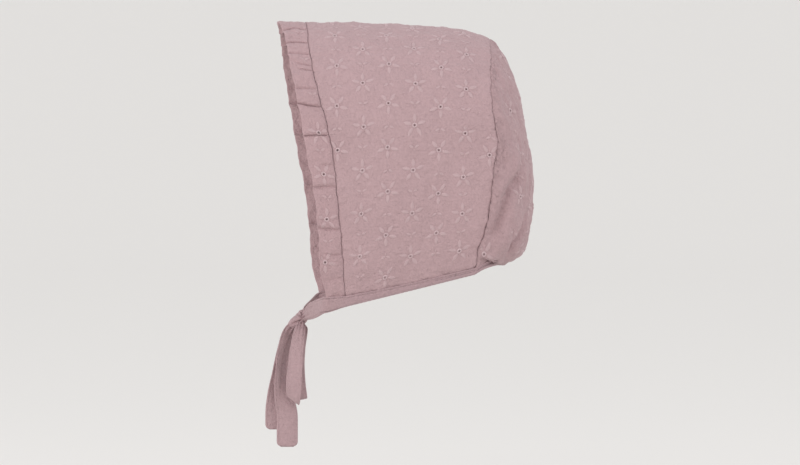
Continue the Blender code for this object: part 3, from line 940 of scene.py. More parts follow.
@dataclass
class Panel:
    """A sewn panel: a smooth form with fine relief, and flowers that follow it."""

    name: str
    node: str
    slot: str
    finish: Cotton
    floss: Floss
    flower: Flower = field(default_factory=Flower)
    wall: float = 0.55 * MM
    overcast: str = "CDB4B7"
    cut_share: float = 0.7
    draw_reach: float = 0.6 * MM

    def base(self, u: np.ndarray, v: np.ndarray) -> np.ndarray:
        """The smooth form."""
        raise NotImplementedError

    def relief(self, u: np.ndarray, v: np.ndarray, points: np.ndarray) -> np.ndarray:
        """Height of the fine relief over the smooth form."""
        raise NotImplementedError

    def clamped(self, u: np.ndarray, v: np.ndarray) -> tuple[np.ndarray, np.ndarray]:
        """Places kept on the panel, where the seams cut the embroidery off."""
        return u, v

    def steps(self) -> tuple[float, float]:
        """Small steps of u and v for measuring the form."""
        return 0.2 * MM, math.radians(0.2)

    def frame_at(self, u: np.ndarray, v: np.ndarray) -> tuple[np.ndarray, np.ndarray, np.ndarray]:
        """How the form runs.

        Args:
            u: First coordinate of each place.
            v: Second coordinate.

        Returns:
            The change of place with u, with v, and the outward unit normal.
        """
        du, dv = self.steps()
        by_u = (self.base(u + du, v) - self.base(u - du, v)) / (2.0 * du)
        by_v = (self.base(u, v + dv) - self.base(u, v - dv)) / (2.0 * dv)
        normal = unit(np.cross(by_u, by_v))
        away = self.base(u, v) - HEAD_CENTRE
        return by_u, by_v, normal * np.sign(np.sum(normal * away, axis=-1, keepdims=True))

    def surface(self, u: np.ndarray, v: np.ndarray, lift: np.ndarray | float = 0.0) -> np.ndarray:
        """The dressed outer face.

        Args:
            u: First coordinate of each place.
            v: Second coordinate.
            lift: Height over the cloth.

        Returns:
            Points, with the coordinates last.
        """
        points = self.base(u, v)
        _, _, normal = self.frame_at(u, v)
        return points + normal * (self.relief(u, v, points) + lift)[..., None]

    def embroider(self, name: str, places: list[tuple[float, float, list[Part]]]) -> bpy.types.Object:
        """Lays stitched motifs on the panel.

        Args:
            name: The object's name.
            places: (u, v, parts) of each motif.

        Returns:
            The embroidery as one object, without the leaves that a seam would cut off.
        """
        points, faces, uvs, rings, count = [], [], [], [], 0
        for u, v, parts in places:
            by_u, by_v, _ = self.frame_at(np.array(u), np.array(v))
            for local, part_faces, uv in parts:
                us = u + local[:, 0] / np.linalg.norm(by_u)
                vs = v + local[:, 1] / np.linalg.norm(by_v)
                held_u, held_v = self.clamped(us, vs)
                if np.mean((held_u != us) | (held_v != vs)) > self.cut_share:
                    continue
                points.append(self.surface(held_u, held_v, local[:, 2]))
                faces += [tuple(k + count for k in face) for face in part_faces]
                rings += [int(len(part_faces) == math.prod(self.flower.ring_steps))] * len(part_faces)
                uvs.append(uv)
                count += len(local)
        obj = make_object(name, np.concatenate(points), faces, np.concatenate(uvs), self.floss.make())
        obj.data.materials.append(Floss(f"{self.floss.name}_overcast", self.overcast).make())
        obj.data.polygons.foreach_set("material_index", rings)
        face_out(obj)
        return obj

    def drawn(self, away: np.ndarray) -> np.ndarray:
        """How far a seam draws the cloth in this far from it, as a share."""
        return np.exp(-((away / self.draw_reach) ** 2))

    def sites(self, spots: list[tuple[float, float]]) -> np.ndarray:
        """Places on the dressed face.

        Args:
            spots: (u, v) of each.

        Returns:
            Points, with the coordinates last.
        """
        return np.array([self.surface(np.array(u), np.array(v)) for u, v in spots])

    def finish_pieces(
        self, sheet: np.ndarray, holes: list[tuple[int, int]], places: list, stitched: str, words: dict
    ) -> None:
        """Makes the sheet and its embroidery, and ties both to the imported part.

        Args:
            sheet: Rows and columns of the sheet's points.
            holes: (row, column) of each eyelet.
            places: (u, v, parts) of each motif.
            stitched: Name of the embroidery.
            words: The sheet's flat size, how it is held and what it rests on; not used.
        """
        cloth = cloth_grid(self.name, sheet, holes, self.flower.eyelet, self.wall, self.finish.make())
        stitches = self.embroider(stitched, places)
        settle(cloth, self.slot, self.node)
        settle(stitches, self.slot)


def nearest_nodes(grid: np.ndarray, places: np.ndarray) -> list[tuple[int, int]]:
    """The grid node nearest to each place.

    Args:
        grid: Rows and columns of points.
        places: Points.

    Returns:
        (row, column) of each.
    """
    flat = grid.reshape(-1, 3)
    nearest = [int(np.argmin(np.sum((flat - place) ** 2, axis=-1))) for place in places]
    return [divmod(k, grid.shape[1]) for k in nearest]


def swap_axes(parts: list[Part], side: float = 1.0) -> list[Part]:
    """Motif parts with their two axes swapped, for a panel whose first coordinate runs down.

    Args:
        parts: Points, faces and UV pairs of each part.
        side: -1 where the panel's second coordinate runs to the front.

    Returns:
        The parts, lying the other way.
    """
    return [(local[:, (1, 0, 2)] * (1.0, side, 1.0), faces, uv) for local, faces, uv in parts]


@dataclass
class CrownPanel(Panel):
    """The panel over the head from ear to ear."""

    cell: float = 1.1 * MM
    columns: int = 7
    column_spacing: float = 16.1 * MM
    column_closing: float = 0.9 * MM
    flower_spacing: float = 26.8 * MM
    first_y: float = -46.0 * MM
    first_lean: float = 1.2 * MM
    first_arc: float = 4.2 * MM
    seam_margin: float = 2.6 * MM
    bud_margin: float = 4.0 * MM
    neck_margin: float = 8.0 * MM
    stitch_margin: float = 0.5 * MM
    draws: tuple[float, float] = (0.16 * MM, 0.2 * MM)
    pucker_pitch: float = 3.3 * MM
    front_pucker: tuple[float, float] = (0.13 * MM, 2.4 * MM)
    back_pucker: tuple[float, float] = (0.24 * MM, 3.6 * MM)
    squeezes: tuple[tuple[float, float], ...] = (
        (0.0, 0.0), (0.0, 0.0), (0.0, 0.0), (0.0, 0.0),
        (0.08, 125.0 * MM), (0.145, 125.0 * MM), (0.18, 78.0 * MM),
    )
    allowance: tuple[tuple[float, float], ...] = (
        (0.0, 0.35 * MM), (0.15 * MM, 1.1 * MM), (2.0 * MM, 1.4 * MM), (6.0 * MM, 1.35 * MM),
    )
    dents: tuple[Crumple, ...] = (
        Crumple(0.32 * MM, 21.0 * MM, 3), Crumple(0.20 * MM, 7.5 * MM, 5), Crumple(0.08 * MM, 3.4 * MM, 6),
    )

    def base(self, u: np.ndarray, v: np.ndarray) -> np.ndarray:
        """The smooth form, by place along the head and angle from the top."""
        return FORM.section(u, v)

    def relief(self, u: np.ndarray, v: np.ndarray, points: np.ndarray) -> np.ndarray:
        """Crinkles, and the seams that draw the edges in and pucker the cloth next to them.

        Args:
            u: Places along the head.
            v: Turns from the top.
            points: The smooth form there.

        Returns:
            Heights over the smooth form.
        """
        share = FORM.height_share(v)
        front = np.maximum(u - FORM.face_seam_y(share), 0.0)
        back = np.maximum(FORM.back_seam_y(share) - u, 0.0)
        tight = mix(0.3, 1.0, fade(share, 0.22, 0.34))
        drawn = self.draws[0] * self.drawn(front) + self.draws[1] * tight * self.drawn(back)
        along = v * FORM.half_width / self.pucker_pitch
        height, reach = self.back_pucker
        pucker = height * np.cos(FULL_TURN * along + 1.2 * np.sin(along)) * np.exp(-back / reach)
        height, reach = self.front_pucker
        wave = np.cos(1.15 * FULL_TURN * along + 1.1 * np.sin(0.8 * along))
        pucker += height * wave * np.exp(-front / reach)
        return sum(dent.at(points) for dent in self.dents) - drawn + pucker

    def grid(self) -> tuple[np.ndarray, np.ndarray]:
        """Lays out the sheet's nodes.

        Returns:
            Their places along the head and their turns from the top.
        """
        fine = np.linspace(0.0, FORM.neck_angle, 2000)
        arc = lengths_along(FORM.section(np.zeros(2000), fine))[1:]
        half = int(round(arc[-1] / self.cell))
        side = np.interp(np.linspace(0.0, arc[-1], half + 1)[1:], arc, fine[1:])
        angles = np.concatenate((-side[::-1], [0.0], side))
        along = np.linspace(0.0, 1.0, int(FORM.crown_length / self.cell) + 1)
        share = FORM.height_share(angles)
        y = mix(FORM.face_seam_y(share)[None, :], FORM.back_seam_y(share)[None, :], along[:, None])
        return y, np.broadcast_to(angles, y.shape)

    def angle_along(self, y: float, arc: float) -> float:
        """Angle of a point by its way over the crown.

        Args:
            y: Its place along the head.
            arc: How far over the crown it is from the mid line, positive on the left.

        Returns:
            Its turn from the top.
        """
        fine = np.linspace(0.0, FORM.neck_angle, 600)
        gone = lengths_along(FORM.section(np.full(600, y), fine))[1:]
        return math.copysign(float(np.interp(abs(arc), gone, fine[1:])), arc)

    def motifs(self) -> list[tuple[float, float, Petal, bool]]:
        """Lays out the lattice of flowers and buds.

        Returns:
            (y, angle, petal, whether it is a flower) of each motif.
        """
        found = []
        rows = math.ceil(2.0 * FORM.face_height / self.flower_spacing)
        for column in range(-1, self.columns + 1):
            top_y = self.first_y + column * self.column_spacing
            petal = Petal.DOWN if column % 2 == 0 else Petal.UP
            taken, start = self.squeezes[min(max(column, 0), self.columns - 1)]
            for half_row in range(-2 * rows, 2 * rows):
                arc = self.first_arc + 0.5 * self.flower_spacing * (half_row + column % 2)
                arc -= math.copysign(taken * max(abs(arc) - start, 0.0), arc)
                angle = self.angle_along(top_y, arc)
                share = float(FORM.height_share(angle))
                y = top_y - share * (self.first_lean + column * self.column_closing)
                found.append((y, angle, petal, half_row % 2 == 0))
        return found

    def clamped(self, u: np.ndarray, v: np.ndarray) -> tuple[np.ndarray, np.ndarray]:
        """Places kept between the two seams.

        Args:
            u: Places along the head.
            v: Turns from the top.

        Returns:
            The places and the turns.
        """
        share = FORM.height_share(v)
        low, high = FORM.face_seam_y(share), FORM.back_seam_y(share)
        return np.clip(u, low + self.stitch_margin, high - self.stitch_margin), v

    def inside(self, y: float, angle: float, margin: float) -> bool:
        """Whether a motif fits on the panel.

        Args:
            y: Its place along the head.
            angle: Its turn from the top.
            margin: The cloth that it needs round its middle.

        Returns:
            True where it fits.
        """
        share = float(FORM.height_share(angle))
        between = FORM.face_seam_y(share) + margin < y < FORM.back_seam_y(share) - margin
        above = share < 1.0 - (self.neck_margin + margin) / FORM.face_height
        return bool(between) and abs(angle) < FORM.neck_angle - 0.01 and above

    def build(self) -> None:
        """Makes the sheet and its embroidery."""
        u, v = self.grid()
        front = [self.surface(u[:1] + step, v[:1], -depth) for step, depth in self.allowance]
        back = [self.surface(u[-1:] - step, v[-1:], -depth) for step, depth in self.allowance]
        points = self.surface(u, v)
        flowers = [m for m in self.motifs() if m[3] and self.inside(*m[:2], self.seam_margin)]
        buds = [m for m in self.motifs() if not m[3] and self.inside(*m[:2], self.bud_margin)]
        nodes = nearest_nodes(points, self.sites([m[:2] for m in flowers]))
        holes = [(i + len(front), j) for i, j in nodes if 1 < i < u.shape[0] - 2 and 1 < j < u.shape[1] - 2]
        parts = {petal: self.flower.parts(petal) for petal in Petal}
        small = {petal: self.flower.bud_parts(petal) for petal in Petal}
        places = [(float(u[i, j]), float(v[i, j]), parts[m[2]]) for (i, j), m in zip(nodes, flowers)]
        places += [(m[0], m[1], small[m[2]]) for m in buds]
        sheet = np.concatenate(front[::-1] + [points] + back)
        words = {"flat": (0.128, 0.395), "held": "stretched", "rests_on": ["neck_binding"]}
        self.finish_pieces(sheet, holes, places, "crown_embroidery", words)


# (share down the seam, degrees to the side) along each long fold, the same on both sides
NAPE_FOLD = Line((
    (0.64, 46.0), (0.705, 57.0), (0.75, 68.0), (0.775, 72.0), (0.818, 75.0), (0.855, 79.0), (0.9, 86.0),
))
INNER_FOLD = Line(((0.76, 33.0), (0.812, 42.0), (0.835, 44.0), (0.86, 51.0), (0.883, 50.0), (0.93, 42.0)))
UPPER_FOLD = Line(((0.36, 60.0), (0.46, 66.0), (0.58, 68.0)))
# The way, depth and width of each fold
BACK_FOLDS = (
    (NAPE_FOLD, 4.6 * MM, 3.8 * MM), (INNER_FOLD, 4.0 * MM, 3.4 * MM), (UPPER_FOLD, 0.6 * MM, 3.5 * MM),
)
# (share down the seam, turn to the side in degrees) of each flower of the back panel, the same on both sides
BACK_FLOWERS = (
    (0.215, 0.0), (0.43, 0.0), (0.632, 0.0), (0.757, 0.0), (0.87, 0.0),
    (0.137, 50.0), (0.332, 20.0), (0.545, 15.0), (0.702, 14.5), (0.81, 15.0),
    (0.277, 53.0), (0.462, 33.5), (0.642, 30.0), (0.76, 30.5), (0.87, 34.0),
    (0.48, 59.5), (0.637, 52.0), (0.747, 54.0), (0.932, 82.0),
)
# (share down the seam, turn in degrees) of the buds between them
BACK_BUDS = (
    (0.33, 0.0), (0.53, 0.0), (0.70, 0.0), (0.815, 0.0), (0.235, 28.0), (0.44, 17.5), (0.63, 14.5),
    (0.757, 15.0), (0.37, 41.0), (0.56, 31.5), (0.705, 30.0), (0.815, 32.0), (0.56, 56.0), (0.695, 53.0),
    (0.83, 58.0),
)


@dataclass
class BackPanel(Panel):
    """The panel that closes the back of the head, gathered into its seam and into the nape binding."""

    cell: float = 1.05 * MM
    gather_spacing: float = 3.6 * MM
    gather_height: float = 0.85 * MM
    gather_reach: float = 8.0 * MM
    gather_wander: tuple[tuple[float, float, float], ...] = (
        (1.3, 1.0 / (17.0 * MM), 0.0), (0.8, 1.0 / (7.3 * MM), 1.0),
    )
    gather_uneven: float = 9.1 * MM
    gather_start: tuple[float, float] = (-0.2 * MM, 1.4 * MM)
    wide_wave: tuple[float, int] = (0.42 * MM, 9)
    fold_radius: float = 38.0 * MM
    seam_draw: float = 0.2 * MM
    nape_tuck: float = 1.5 * MM
    nape_puff: float = 0.9 * MM
    nape_share: float = 0.965
    kept_share: float = 0.94
    kept_turn: float = math.radians(88.0)
    allowance: tuple[float, float] = (0.45 * MM, 1.2 * MM)
    block: int = 4000
    dents: tuple[Crumple, ...] = (
        Crumple(0.60 * MM, 22.0 * MM, 21, (1.7, 1.2, 0.6)),
        Crumple(0.34 * MM, 8.0 * MM, 23, (1.6, 1.2, 0.5)),
        Crumple(0.14 * MM, 3.8 * MM, 25, (1.5, 1.2, 0.5)),
    )

    def steps(self) -> tuple[float, float]:
        """Small steps of the share down the seam and of the turn."""
        return 0.002, math.radians(0.4)

    def base(self, u: np.ndarray, v: np.ndarray) -> np.ndarray:
        """The smooth form, by share down the seam and turn from side to side."""
        return FORM.back(u, v)

    def clamped(self, u: np.ndarray, v: np.ndarray) -> tuple[np.ndarray, np.ndarray]:
        """Places kept inside the sewn edge."""
        return np.clip(u, 0.01, self.kept_share), np.clip(v, -self.kept_turn, self.kept_turn)

    def edge(self) -> tuple[np.ndarray, np.ndarray]:
        """The sewn edge all round.

        Returns:
            Its points, and the length along it at each.
        """
        share = np.linspace(0.0, 1.0, 260)
        left = FORM.back(share, QUARTER_TURN)
        nape = FORM.back(self.nape_share, np.linspace(QUARTER_TURN, -QUARTER_TURN, 120))
        right = FORM.back(share[::-1], -QUARTER_TURN)
        points = np.concatenate((left[:250], nape, right[10:]))
        return points, lengths_along(points)

    def from_edge(self, points: np.ndarray) -> tuple[np.ndarray, np.ndarray]:
        """Measures from the sewn edge.

        Args:
            points: Where from, with the coordinates last.

        Returns:
            The length along the edge to its nearest point, and the distance to that point.
        """
        edge, length = self.edge()
        flat = points.reshape(-1, 3)
        near = np.empty(len(flat), int)
        away = np.empty(len(flat))
        for start in range(0, len(flat), self.block):
            part = slice(start, start + self.block)
            gap = np.linalg.norm(flat[part, None, :] - edge[None, :, :], axis=-1)
            near[part], away[part] = gap.argmin(axis=1), gap.min(axis=1)
        return length[near.reshape(points.shape[:-1])], away.reshape(points.shape[:-1])

    def folds(self, u: np.ndarray, v: np.ndarray) -> np.ndarray:
        """Depth of the long folds, each with a soft lip on both sides.

        Args:
            u: Shares down the seam.
            v: Turns to the side.

        Returns:
            Depths in metres.
        """
        total = np.zeros(np.shape(u))
        for path, depth, width in BACK_FOLDS:
            first, last = path.rows[0][0], path.rows[-1][0]
            ends = np.sin(HALF_TURN * np.clip((u - first) / (last - first), 0.0, 1.0)) ** 0.6
            aside = (np.abs(v) - np.radians(path.at(u))) * self.fold_radius / width
            lips = 0.4 * np.exp(-0.6 * (aside + 1.7) ** 2) + 0.25 * np.exp(-((aside - 1.6) ** 2))
            total = total + depth * ends * (np.exp(-(aside**2)) - lips)
        return total

    def relief(self, u: np.ndarray, v: np.ndarray, points: np.ndarray) -> np.ndarray:
        """Gathers square to the sewn edge, the long folds, crinkles and the tuck over the nape.

        Args:
            u: Shares down the seam.
            v: Turns to the side.
            points: The smooth form there.

        Returns:
            Heights over the smooth form.
        """
        along, away = self.from_edge(points)
        sideways = np.cos(v)
        turns = FULL_TURN * along / self.gather_spacing + 0.5 * away / self.gather_reach
        uneven = 0.65 + 0.35 * np.sin(along / self.gather_uneven + 2.0)
        wave = np.cos(turns + waves(along, self.gather_wander)) * uneven * fade(away, *self.gather_start)
        gathers = self.gather_height * wave * np.exp(-away / self.gather_reach)
        height, count = self.wide_wave
        aside = fade(np.abs(np.sin(v)), 0.5, 0.9)
        wide = height * np.cos(FULL_TURN * count * u) * aside * fade(away, 0.0, 6.0 * MM)
        soft = sum(dent.at(points) for dent in self.dents) - self.folds(u, v)
        tight = mix(0.3, 1.0, fade(u, 0.2, 0.3)) * fade(1.0 - u, 0.03, 0.06)
        drawn = self.seam_draw * tight * self.drawn(away)
        tuck = self.nape_tuck * fade(u, 0.84, 0.9) * fade(1.0 - u, 0.03, 0.05) * fade(sideways, 0.35, 0.6)
        puff = self.nape_puff * fade(u, 0.86, 0.93) * fade(away, 0.0, 3.0 * MM)
        puff = puff * (1.0 - fade(sideways, 0.3, 0.5))
        free = fade(1.0 - u, 0.04, 0.13)
        return (gathers + wide + soft * fade(away, 0.0, 5.0 * MM)) * free - drawn - tuck + puff

    def grid(self) -> tuple[np.ndarray, np.ndarray]:
        """Lays out the sheet's nodes.

        Returns:
            Their shares down the seam and their turns to the side.
        """
        fine = np.linspace(0.0, 1.0, 1200)
        arc = lengths_along(FORM.back(fine, 0.0))[1:]
        count = int(arc[-1] / self.cell)
        share = np.concatenate(([0.0], np.interp(np.linspace(0.0, arc[-1], count + 1)[1:], arc, fine[1:])))
        fine = np.linspace(-QUARTER_TURN, QUARTER_TURN, 800)
        around = lengths_along(FORM.back(0.55, fine))[1:]
        count = int(around[-1] / self.cell)
        turns = np.interp(np.linspace(0.0, around[-1], count + 1)[1:], around, fine[1:])
        turns = np.concatenate(([-QUARTER_TURN], turns))
        return np.meshgrid(share, 0.5 * (turns - turns[::-1]), indexing="ij")

    def both_sides(self, rows: tuple[tuple[float, float], ...]) -> list[tuple[float, float]]:
        """Motifs on both sides of the mid line.

        Args:
            rows: (share down the seam, turn to the side in degrees) of each.

        Returns:
            (share, turn in radians) of each, in order, with those on the mid line once.
        """
        return sorted({(share, math.radians(side * turn)) for share, turn in rows for side in (1, -1)})

    def build(self) -> None:
        """Makes the sheet and its embroidery."""
        u, v = self.grid()
        points = self.surface(u, v)
        points[0, :] = points[0].mean(axis=0)
        left, right = (
            [self.surface(u[:, k], v[:, k], np.full(len(u), -depth)) for depth in self.allowance]
            for k in (0, -1)
        )
        flowers = self.both_sides(BACK_FLOWERS)
        nodes = nearest_nodes(points, self.sites(flowers))
        holes = [(i, j + len(left)) for i, j in nodes if 1 < i < u.shape[0] - 2 and 1 < j < u.shape[1] - 2]
        parts = {petal: swap_axes(self.flower.parts(petal)) for petal in Petal}
        small = {petal: swap_axes(self.flower.bud_parts(petal)) for petal in Petal}
        choice = [Petal.DOWN if abs(math.degrees(turn)) % 30 < 10 else Petal.UP for _, turn in flowers]
        places = [(float(u[i, j]), float(v[i, j]), parts[petal]) for (i, j), petal in zip(nodes, choice)]
        for k, (share, turn) in enumerate(self.both_sides(BACK_BUDS)):
            places.append((share, turn, small[Petal.DOWN if k % 2 else Petal.UP]))
        sheet = np.concatenate((np.stack(left[::-1], axis=1), points, np.stack(right, axis=1)), axis=1)
        words = {"flat": (0.16, 0.165), "held": "gathered", "rests_on": ["neck_binding"]}
        self.finish_pieces(sheet, holes, places, "back_embroidery", words)

# (height share, depth share, reach share, slant in mm) of each tuck on one side
# The reach is counted from the seam, and the slant is how much lower the tuck is at the fold
TUCKS = (
    (0.003, 0.6, 1.0, 0.0), (0.026, 1.0, 1.0, 4.4), (0.074, 0.9, 1.0, 1.6), (0.113, 0.5, 0.9, 0.4),
    (0.152, 0.7, 0.5, -3.0), (0.17, 0.7, 0.55, -1.5), (0.231, 0.45, 1.0, 0.4), (0.293, 1.1, 1.2, -1.5),
    (0.394, 1.1, 1.2, 0.3), (0.50, 0.6, 0.35, 0.0), (0.575, 0.95, 1.2, 0.2), (0.728, 0.95, 1.2, -0.8),
    (0.818, 0.7, 0.65, -1.2), (0.90, 0.35, 0.5, 0.0), (0.985, 0.0, 0.0, 0.0),
)


@dataclass
class FaceRuffle(Panel):
    """The doubled strip round the face, caught in small tucks."""

    wall: float = 0.45 * MM
    puff: float = 1.9 * MM
    tuck: float = 1.0 * MM
    groove: float = 0.36 * MM
    full_span: float = 14.0 * MM
    lip: float = 0.55 * MM
    lip_place: tuple[float, float] = (1.3 * MM, 1.1 * MM)
    gather: float = 0.16 * MM
    gather_pitch: float = 2.9 * MM
    leaf_gap: float = 0.62 * MM
    tuck_cell: float = 0.22 * MM
    tuck_reach: float = 1.4 * MM
    cell: float = 0.85 * MM
    hem: tuple[tuple[float, float], ...] = (
        (-0.12, 1.3 * MM), (-0.03, 1.2 * MM), (0.0, 0.7 * MM), (0.006, 0.2 * MM), (0.03, 0.0),
    )
    outer_rows: int = 16
    bend_rows: int = 7
    inner_rows: int = 13
    flowers: tuple[tuple[float, float], ...] = ((0.39, 0.383), (0.48, 0.529), (0.61, 0.693), (0.80, 0.84))
    buds: tuple[tuple[float, float], ...] = (
        (0.28, 0.255), (0.35, 0.135), (0.5, 0.45), (0.45, 0.615), (0.62, 0.77), (0.35, 0.045),
    )
    dents: tuple[Crumple, ...] = (
        Crumple(0.26 * MM, 9.0 * MM, 41), Crumple(0.14 * MM, 4.5 * MM, 43),
        Crumple(0.05 * MM, 2.6 * MM, 45),
    )

    def clamped(self, u: np.ndarray, v: np.ndarray) -> tuple[np.ndarray, np.ndarray]:
        """Places kept between the seam and the fold."""
        return u, np.clip(v, 0.04, 0.96)

    def steps(self) -> tuple[float, float]:
        """Small steps of the angle and of the share across."""
        return math.radians(0.3), 0.01

    def base(self, u: np.ndarray, v: np.ndarray) -> np.ndarray:
        """The smooth form, by angle from the top and share across."""
        return FORM.ruffle(u, v)

    def relief(self, u: np.ndarray, v: np.ndarray, points: np.ndarray) -> np.ndarray:
        """Puffs that are full between the tucks, the sharp tucks, and fine gathers at the seam.

        Args:
            u: Turns from the top.
            v: Shares across.
            points: The smooth form there.

        Returns:
            Heights over the smooth form.
        """
        across = np.clip(v, 0.0, 1.0)
        starts = self.starts()
        _, depths, reaches, _ = np.array(TUCKS).T
        here = np.abs(u)
        for _ in range(3):
            here = np.maximum(np.abs(u) - self.slant(here) * across**2, 0.0)
        k = np.clip(np.searchsorted(starts, here, side="right") - 1, 0, len(starts) - 2)
        place = np.clip((here - starts[k]) / (starts[k + 1] - starts[k]), 0.0, 1.0)
        span = (starts[k + 1] - starts[k]) * FORM.half_width
        above, below = place * span, (1.0 - place) * span
        kept = [depths[n] * (1.0 - fade(across, reaches[n] - 0.1, reaches[n] + 0.25)) for n in (k, k + 1)]
        dip = sum(depth * np.exp(-((gap / self.groove) ** 2)) for depth, gap in zip(kept, (above, below)))
        swell = np.sin(HALF_TURN * place) ** 0.7 * np.minimum(span / self.full_span, 1.0)
        middle, reach = self.lip_place
        lip = kept[1] * np.exp(-(((below - middle) / reach) ** 2))
        puffed = self.puff * swell * across**0.6 + self.lip * lip * fade(across, 0.0, 0.25)
        ruched = here * FORM.half_width / self.gather_pitch
        gathers = self.gather * np.cos(FULL_TURN * ruched + 1.4 * np.sin(ruched))
        gathers = gathers * np.exp(-across * 3.2) * fade(across, 0.0, 0.1)
        fine = (sum(dent.at(points) for dent in self.dents) + gathers) * fade(across, 0.0, 0.15)
        held = fade(1.0 - FORM.height_share(here), 0.03, 0.08)
        return held * (puffed + fine - self.tuck * dip * fade(across, -0.05, 0.12))

    def starts(self) -> np.ndarray:
        """Angles of the tucks at the seam."""
        return np.array([float(FORM.angle_at(row[0])) for row in TUCKS])

    def slant(self, angle: np.ndarray) -> np.ndarray:
        """How far down a line from this angle has turned when it reaches the fold, as an angle.
        """
        return np.interp(np.abs(angle), self.starts(), [row[3] * MM / FORM.half_width for row in TUCKS])

    def slanted(self, angle: Number, across: Number) -> Number:
        """Where a section that starts at this angle is, this far across the ruffle."""
        return angle + np.sign(angle) * self.slant(angle) * across**2

    def sections(self) -> np.ndarray:
        """Lays out the sections round the face, close together at each tuck.

        Returns:
            Their angles at the seam.
        """
        side = [0.0]
        starts = [0.0, *self.starts(), FORM.neck_angle]
        for start, end in zip(starts, starts[1:]):
            if end - start < 1e-4:
                continue
            span = (end - start) * FORM.half_width
            near = np.arange(0.0, min(self.tuck_reach, 0.45 * span), self.tuck_cell)
            count = max(3, int((span - 2.0 * near[-1]) / self.cell) + 1)
            middle = np.linspace(near[-1], span - near[-1], count)[1:-1]
            places = np.concatenate((near[1:], middle, span - near[::-1])) / span
            side += (start + (end - start) * places).tolist()
        return np.concatenate((-np.array(side)[:0:-1], side))

    def profile(self) -> list[tuple[float, float, float]]:
        """The section of the doubled strip, from seam to seam.

        Returns:
            (share across, reach past it, depth under the outer face) of each row.
        """
        gap = self.leaf_gap
        outer = [(across, 0.0, depth) for across, depth in self.hem]
        outer += [(across, 0.0, 0.0) for across in np.linspace(0.09, 1.0, self.outer_rows)]
        bends = np.linspace(0.0, HALF_TURN, self.bend_rows)[1:-1]
        bend = [(1.0, gap * math.sin(turn), gap * (1.0 - math.cos(turn))) for turn in bends]
        inner = [(across, 0.0, 2.0 * gap) for across in np.linspace(1.0, 0.0, self.inner_rows)]
        return outer + bend + inner

    def build(self) -> None:
        """Makes the folded strip and its embroidery."""
        angles = self.sections()
        rows = []
        for across, past, depth in self.profile():
            turned = self.slanted(angles, np.clip(across, 0.0, 1.0))
            row = self.surface(turned, np.full(len(angles), across), np.full(len(angles), -depth))
            row[:, 1] -= past
            rows.append(row)
        points = np.array(rows)
        shares = [float(row[0]) for row in self.profile()]
        spots = [
            (side * float(FORM.angle_at(share)), across)
            for across, share in self.flowers
            for side in (1, -1)
        ]
        last = len(self.hem) + self.outer_rows
        nodes = nearest_nodes(points[:last], self.sites(spots))
        holes = [(i, j) for i, j in nodes if len(self.hem) < i < last - 2]
        parts = {petal: swap_axes(self.flower.parts(petal), -1.0) for petal in Petal}
        choice = [Petal.UP if k % 4 < 2 else Petal.DOWN for k in range(len(nodes))]
        laid = [
            (float(self.slanted(angles[j], shares[i])), shares[i], parts[petal])
            for (i, j), petal in zip(nodes, choice)
        ]
        small = swap_axes(self.flower.bud_parts(Petal.UP), -1.0)
        laid += [
            (side * float(FORM.angle_at(share)), across, small)
            for across, share in self.buds
            for side in (1, -1)
        ]
        words = {"flat": (0.034, 0.43), "held": "gathered", "rests_on": ["crown_panel"]}
        self.finish_pieces(points, holes, laid, "ruffle_embroidery", words)

def swept(name: str, rings: np.ndarray, uv: np.ndarray, material: bpy.types.Material) -> bpy.types.Object:
    """A closed body through rings of points, with a face at each end.

    Args:
        name: The object's name.
        rings: Ring by ring, point by point, with the coordinates last.
        uv: One UV pair a point, in metres.
        material: Its finish.

    Returns:
        The object, facing outwards.
    """
    count, size = rings.shape[:2]
    faces = [
        (k * size + j, k * size + (j + 1) % size, (k + 1) * size + (j + 1) % size, (k + 1) * size + j)
        for k in range(count - 1)
        for j in range(size)
    ]
    faces += [tuple(range(size)), tuple(range((count - 1) * size, count * size))]
    obj = make_object(name, rings.reshape(-1, 3), faces, uv.reshape(-1, 2), material)
    face_out(obj)
    return obj


@dataclass
class StitchRow:
    """Rows of lockstitch, each stitch a short round of thread with its ends sunk into the cloth."""

    thread: Floss
    length: float = 2.1 * MM
    pitch: float = 2.9 * MM
    width: float = 0.40 * MM
    look: float = 0.6 * MM
    sink: float = 1.05
    ball_steps: tuple[int, int] = (6, 5)
    points: list = field(default_factory=list)
    faces: list = field(default_factory=list)
    uvs: list = field(default_factory=list)

    def run(
        self, path: np.ndarray, out: np.ndarray, skip: tuple[float, float] = (1.0 * MM, 1.0 * MM)
    ) -> None:
        """Sews along a line.

        Args:
            path: Points of the line.
            out: The way off the cloth at each.
            skip: Lengths left unsewn at its start and end.
        """
        arc = lengths_along(path)
        local, faces = ball(self.ball_steps, "Y", (self.length, self.width, self.width))
        first, last = skip[0] + 0.5 * self.length, arc[-1] - skip[1] - 0.5 * self.length
        for at in np.arange(first, last, self.pitch):
            start, end = (read_line(at + step, arc, path) for step in (-self.look, self.look))
            way = unit(end - start)
            off = read_line(at, arc, out)
            off = unit(off - way * (off @ way))
            count = sum(len(group) for group in self.points)
            sunk = self.sink * (local[:, :1] / self.length) ** 2 * self.width
            laid = local[:, :1] * way + local[:, 1:2] * np.cross(off, way) + (local[:, 2:] - sunk) * off
            self.points.append(0.5 * (start + end) + laid)
            self.faces += [tuple(k + count for k in face) for face in faces]
            self.uvs.append(local[:, :2])

    def build(self, name: str) -> bpy.types.Object:
        """Makes one object of all the rows.

        Args:
            name: Its name.

        Returns:
            The object.
        """
        points, uvs = np.concatenate(self.points), np.concatenate(self.uvs)
        obj = make_object(name, points, self.faces, uvs, self.thread.make())
        face_out(obj)
        return obj


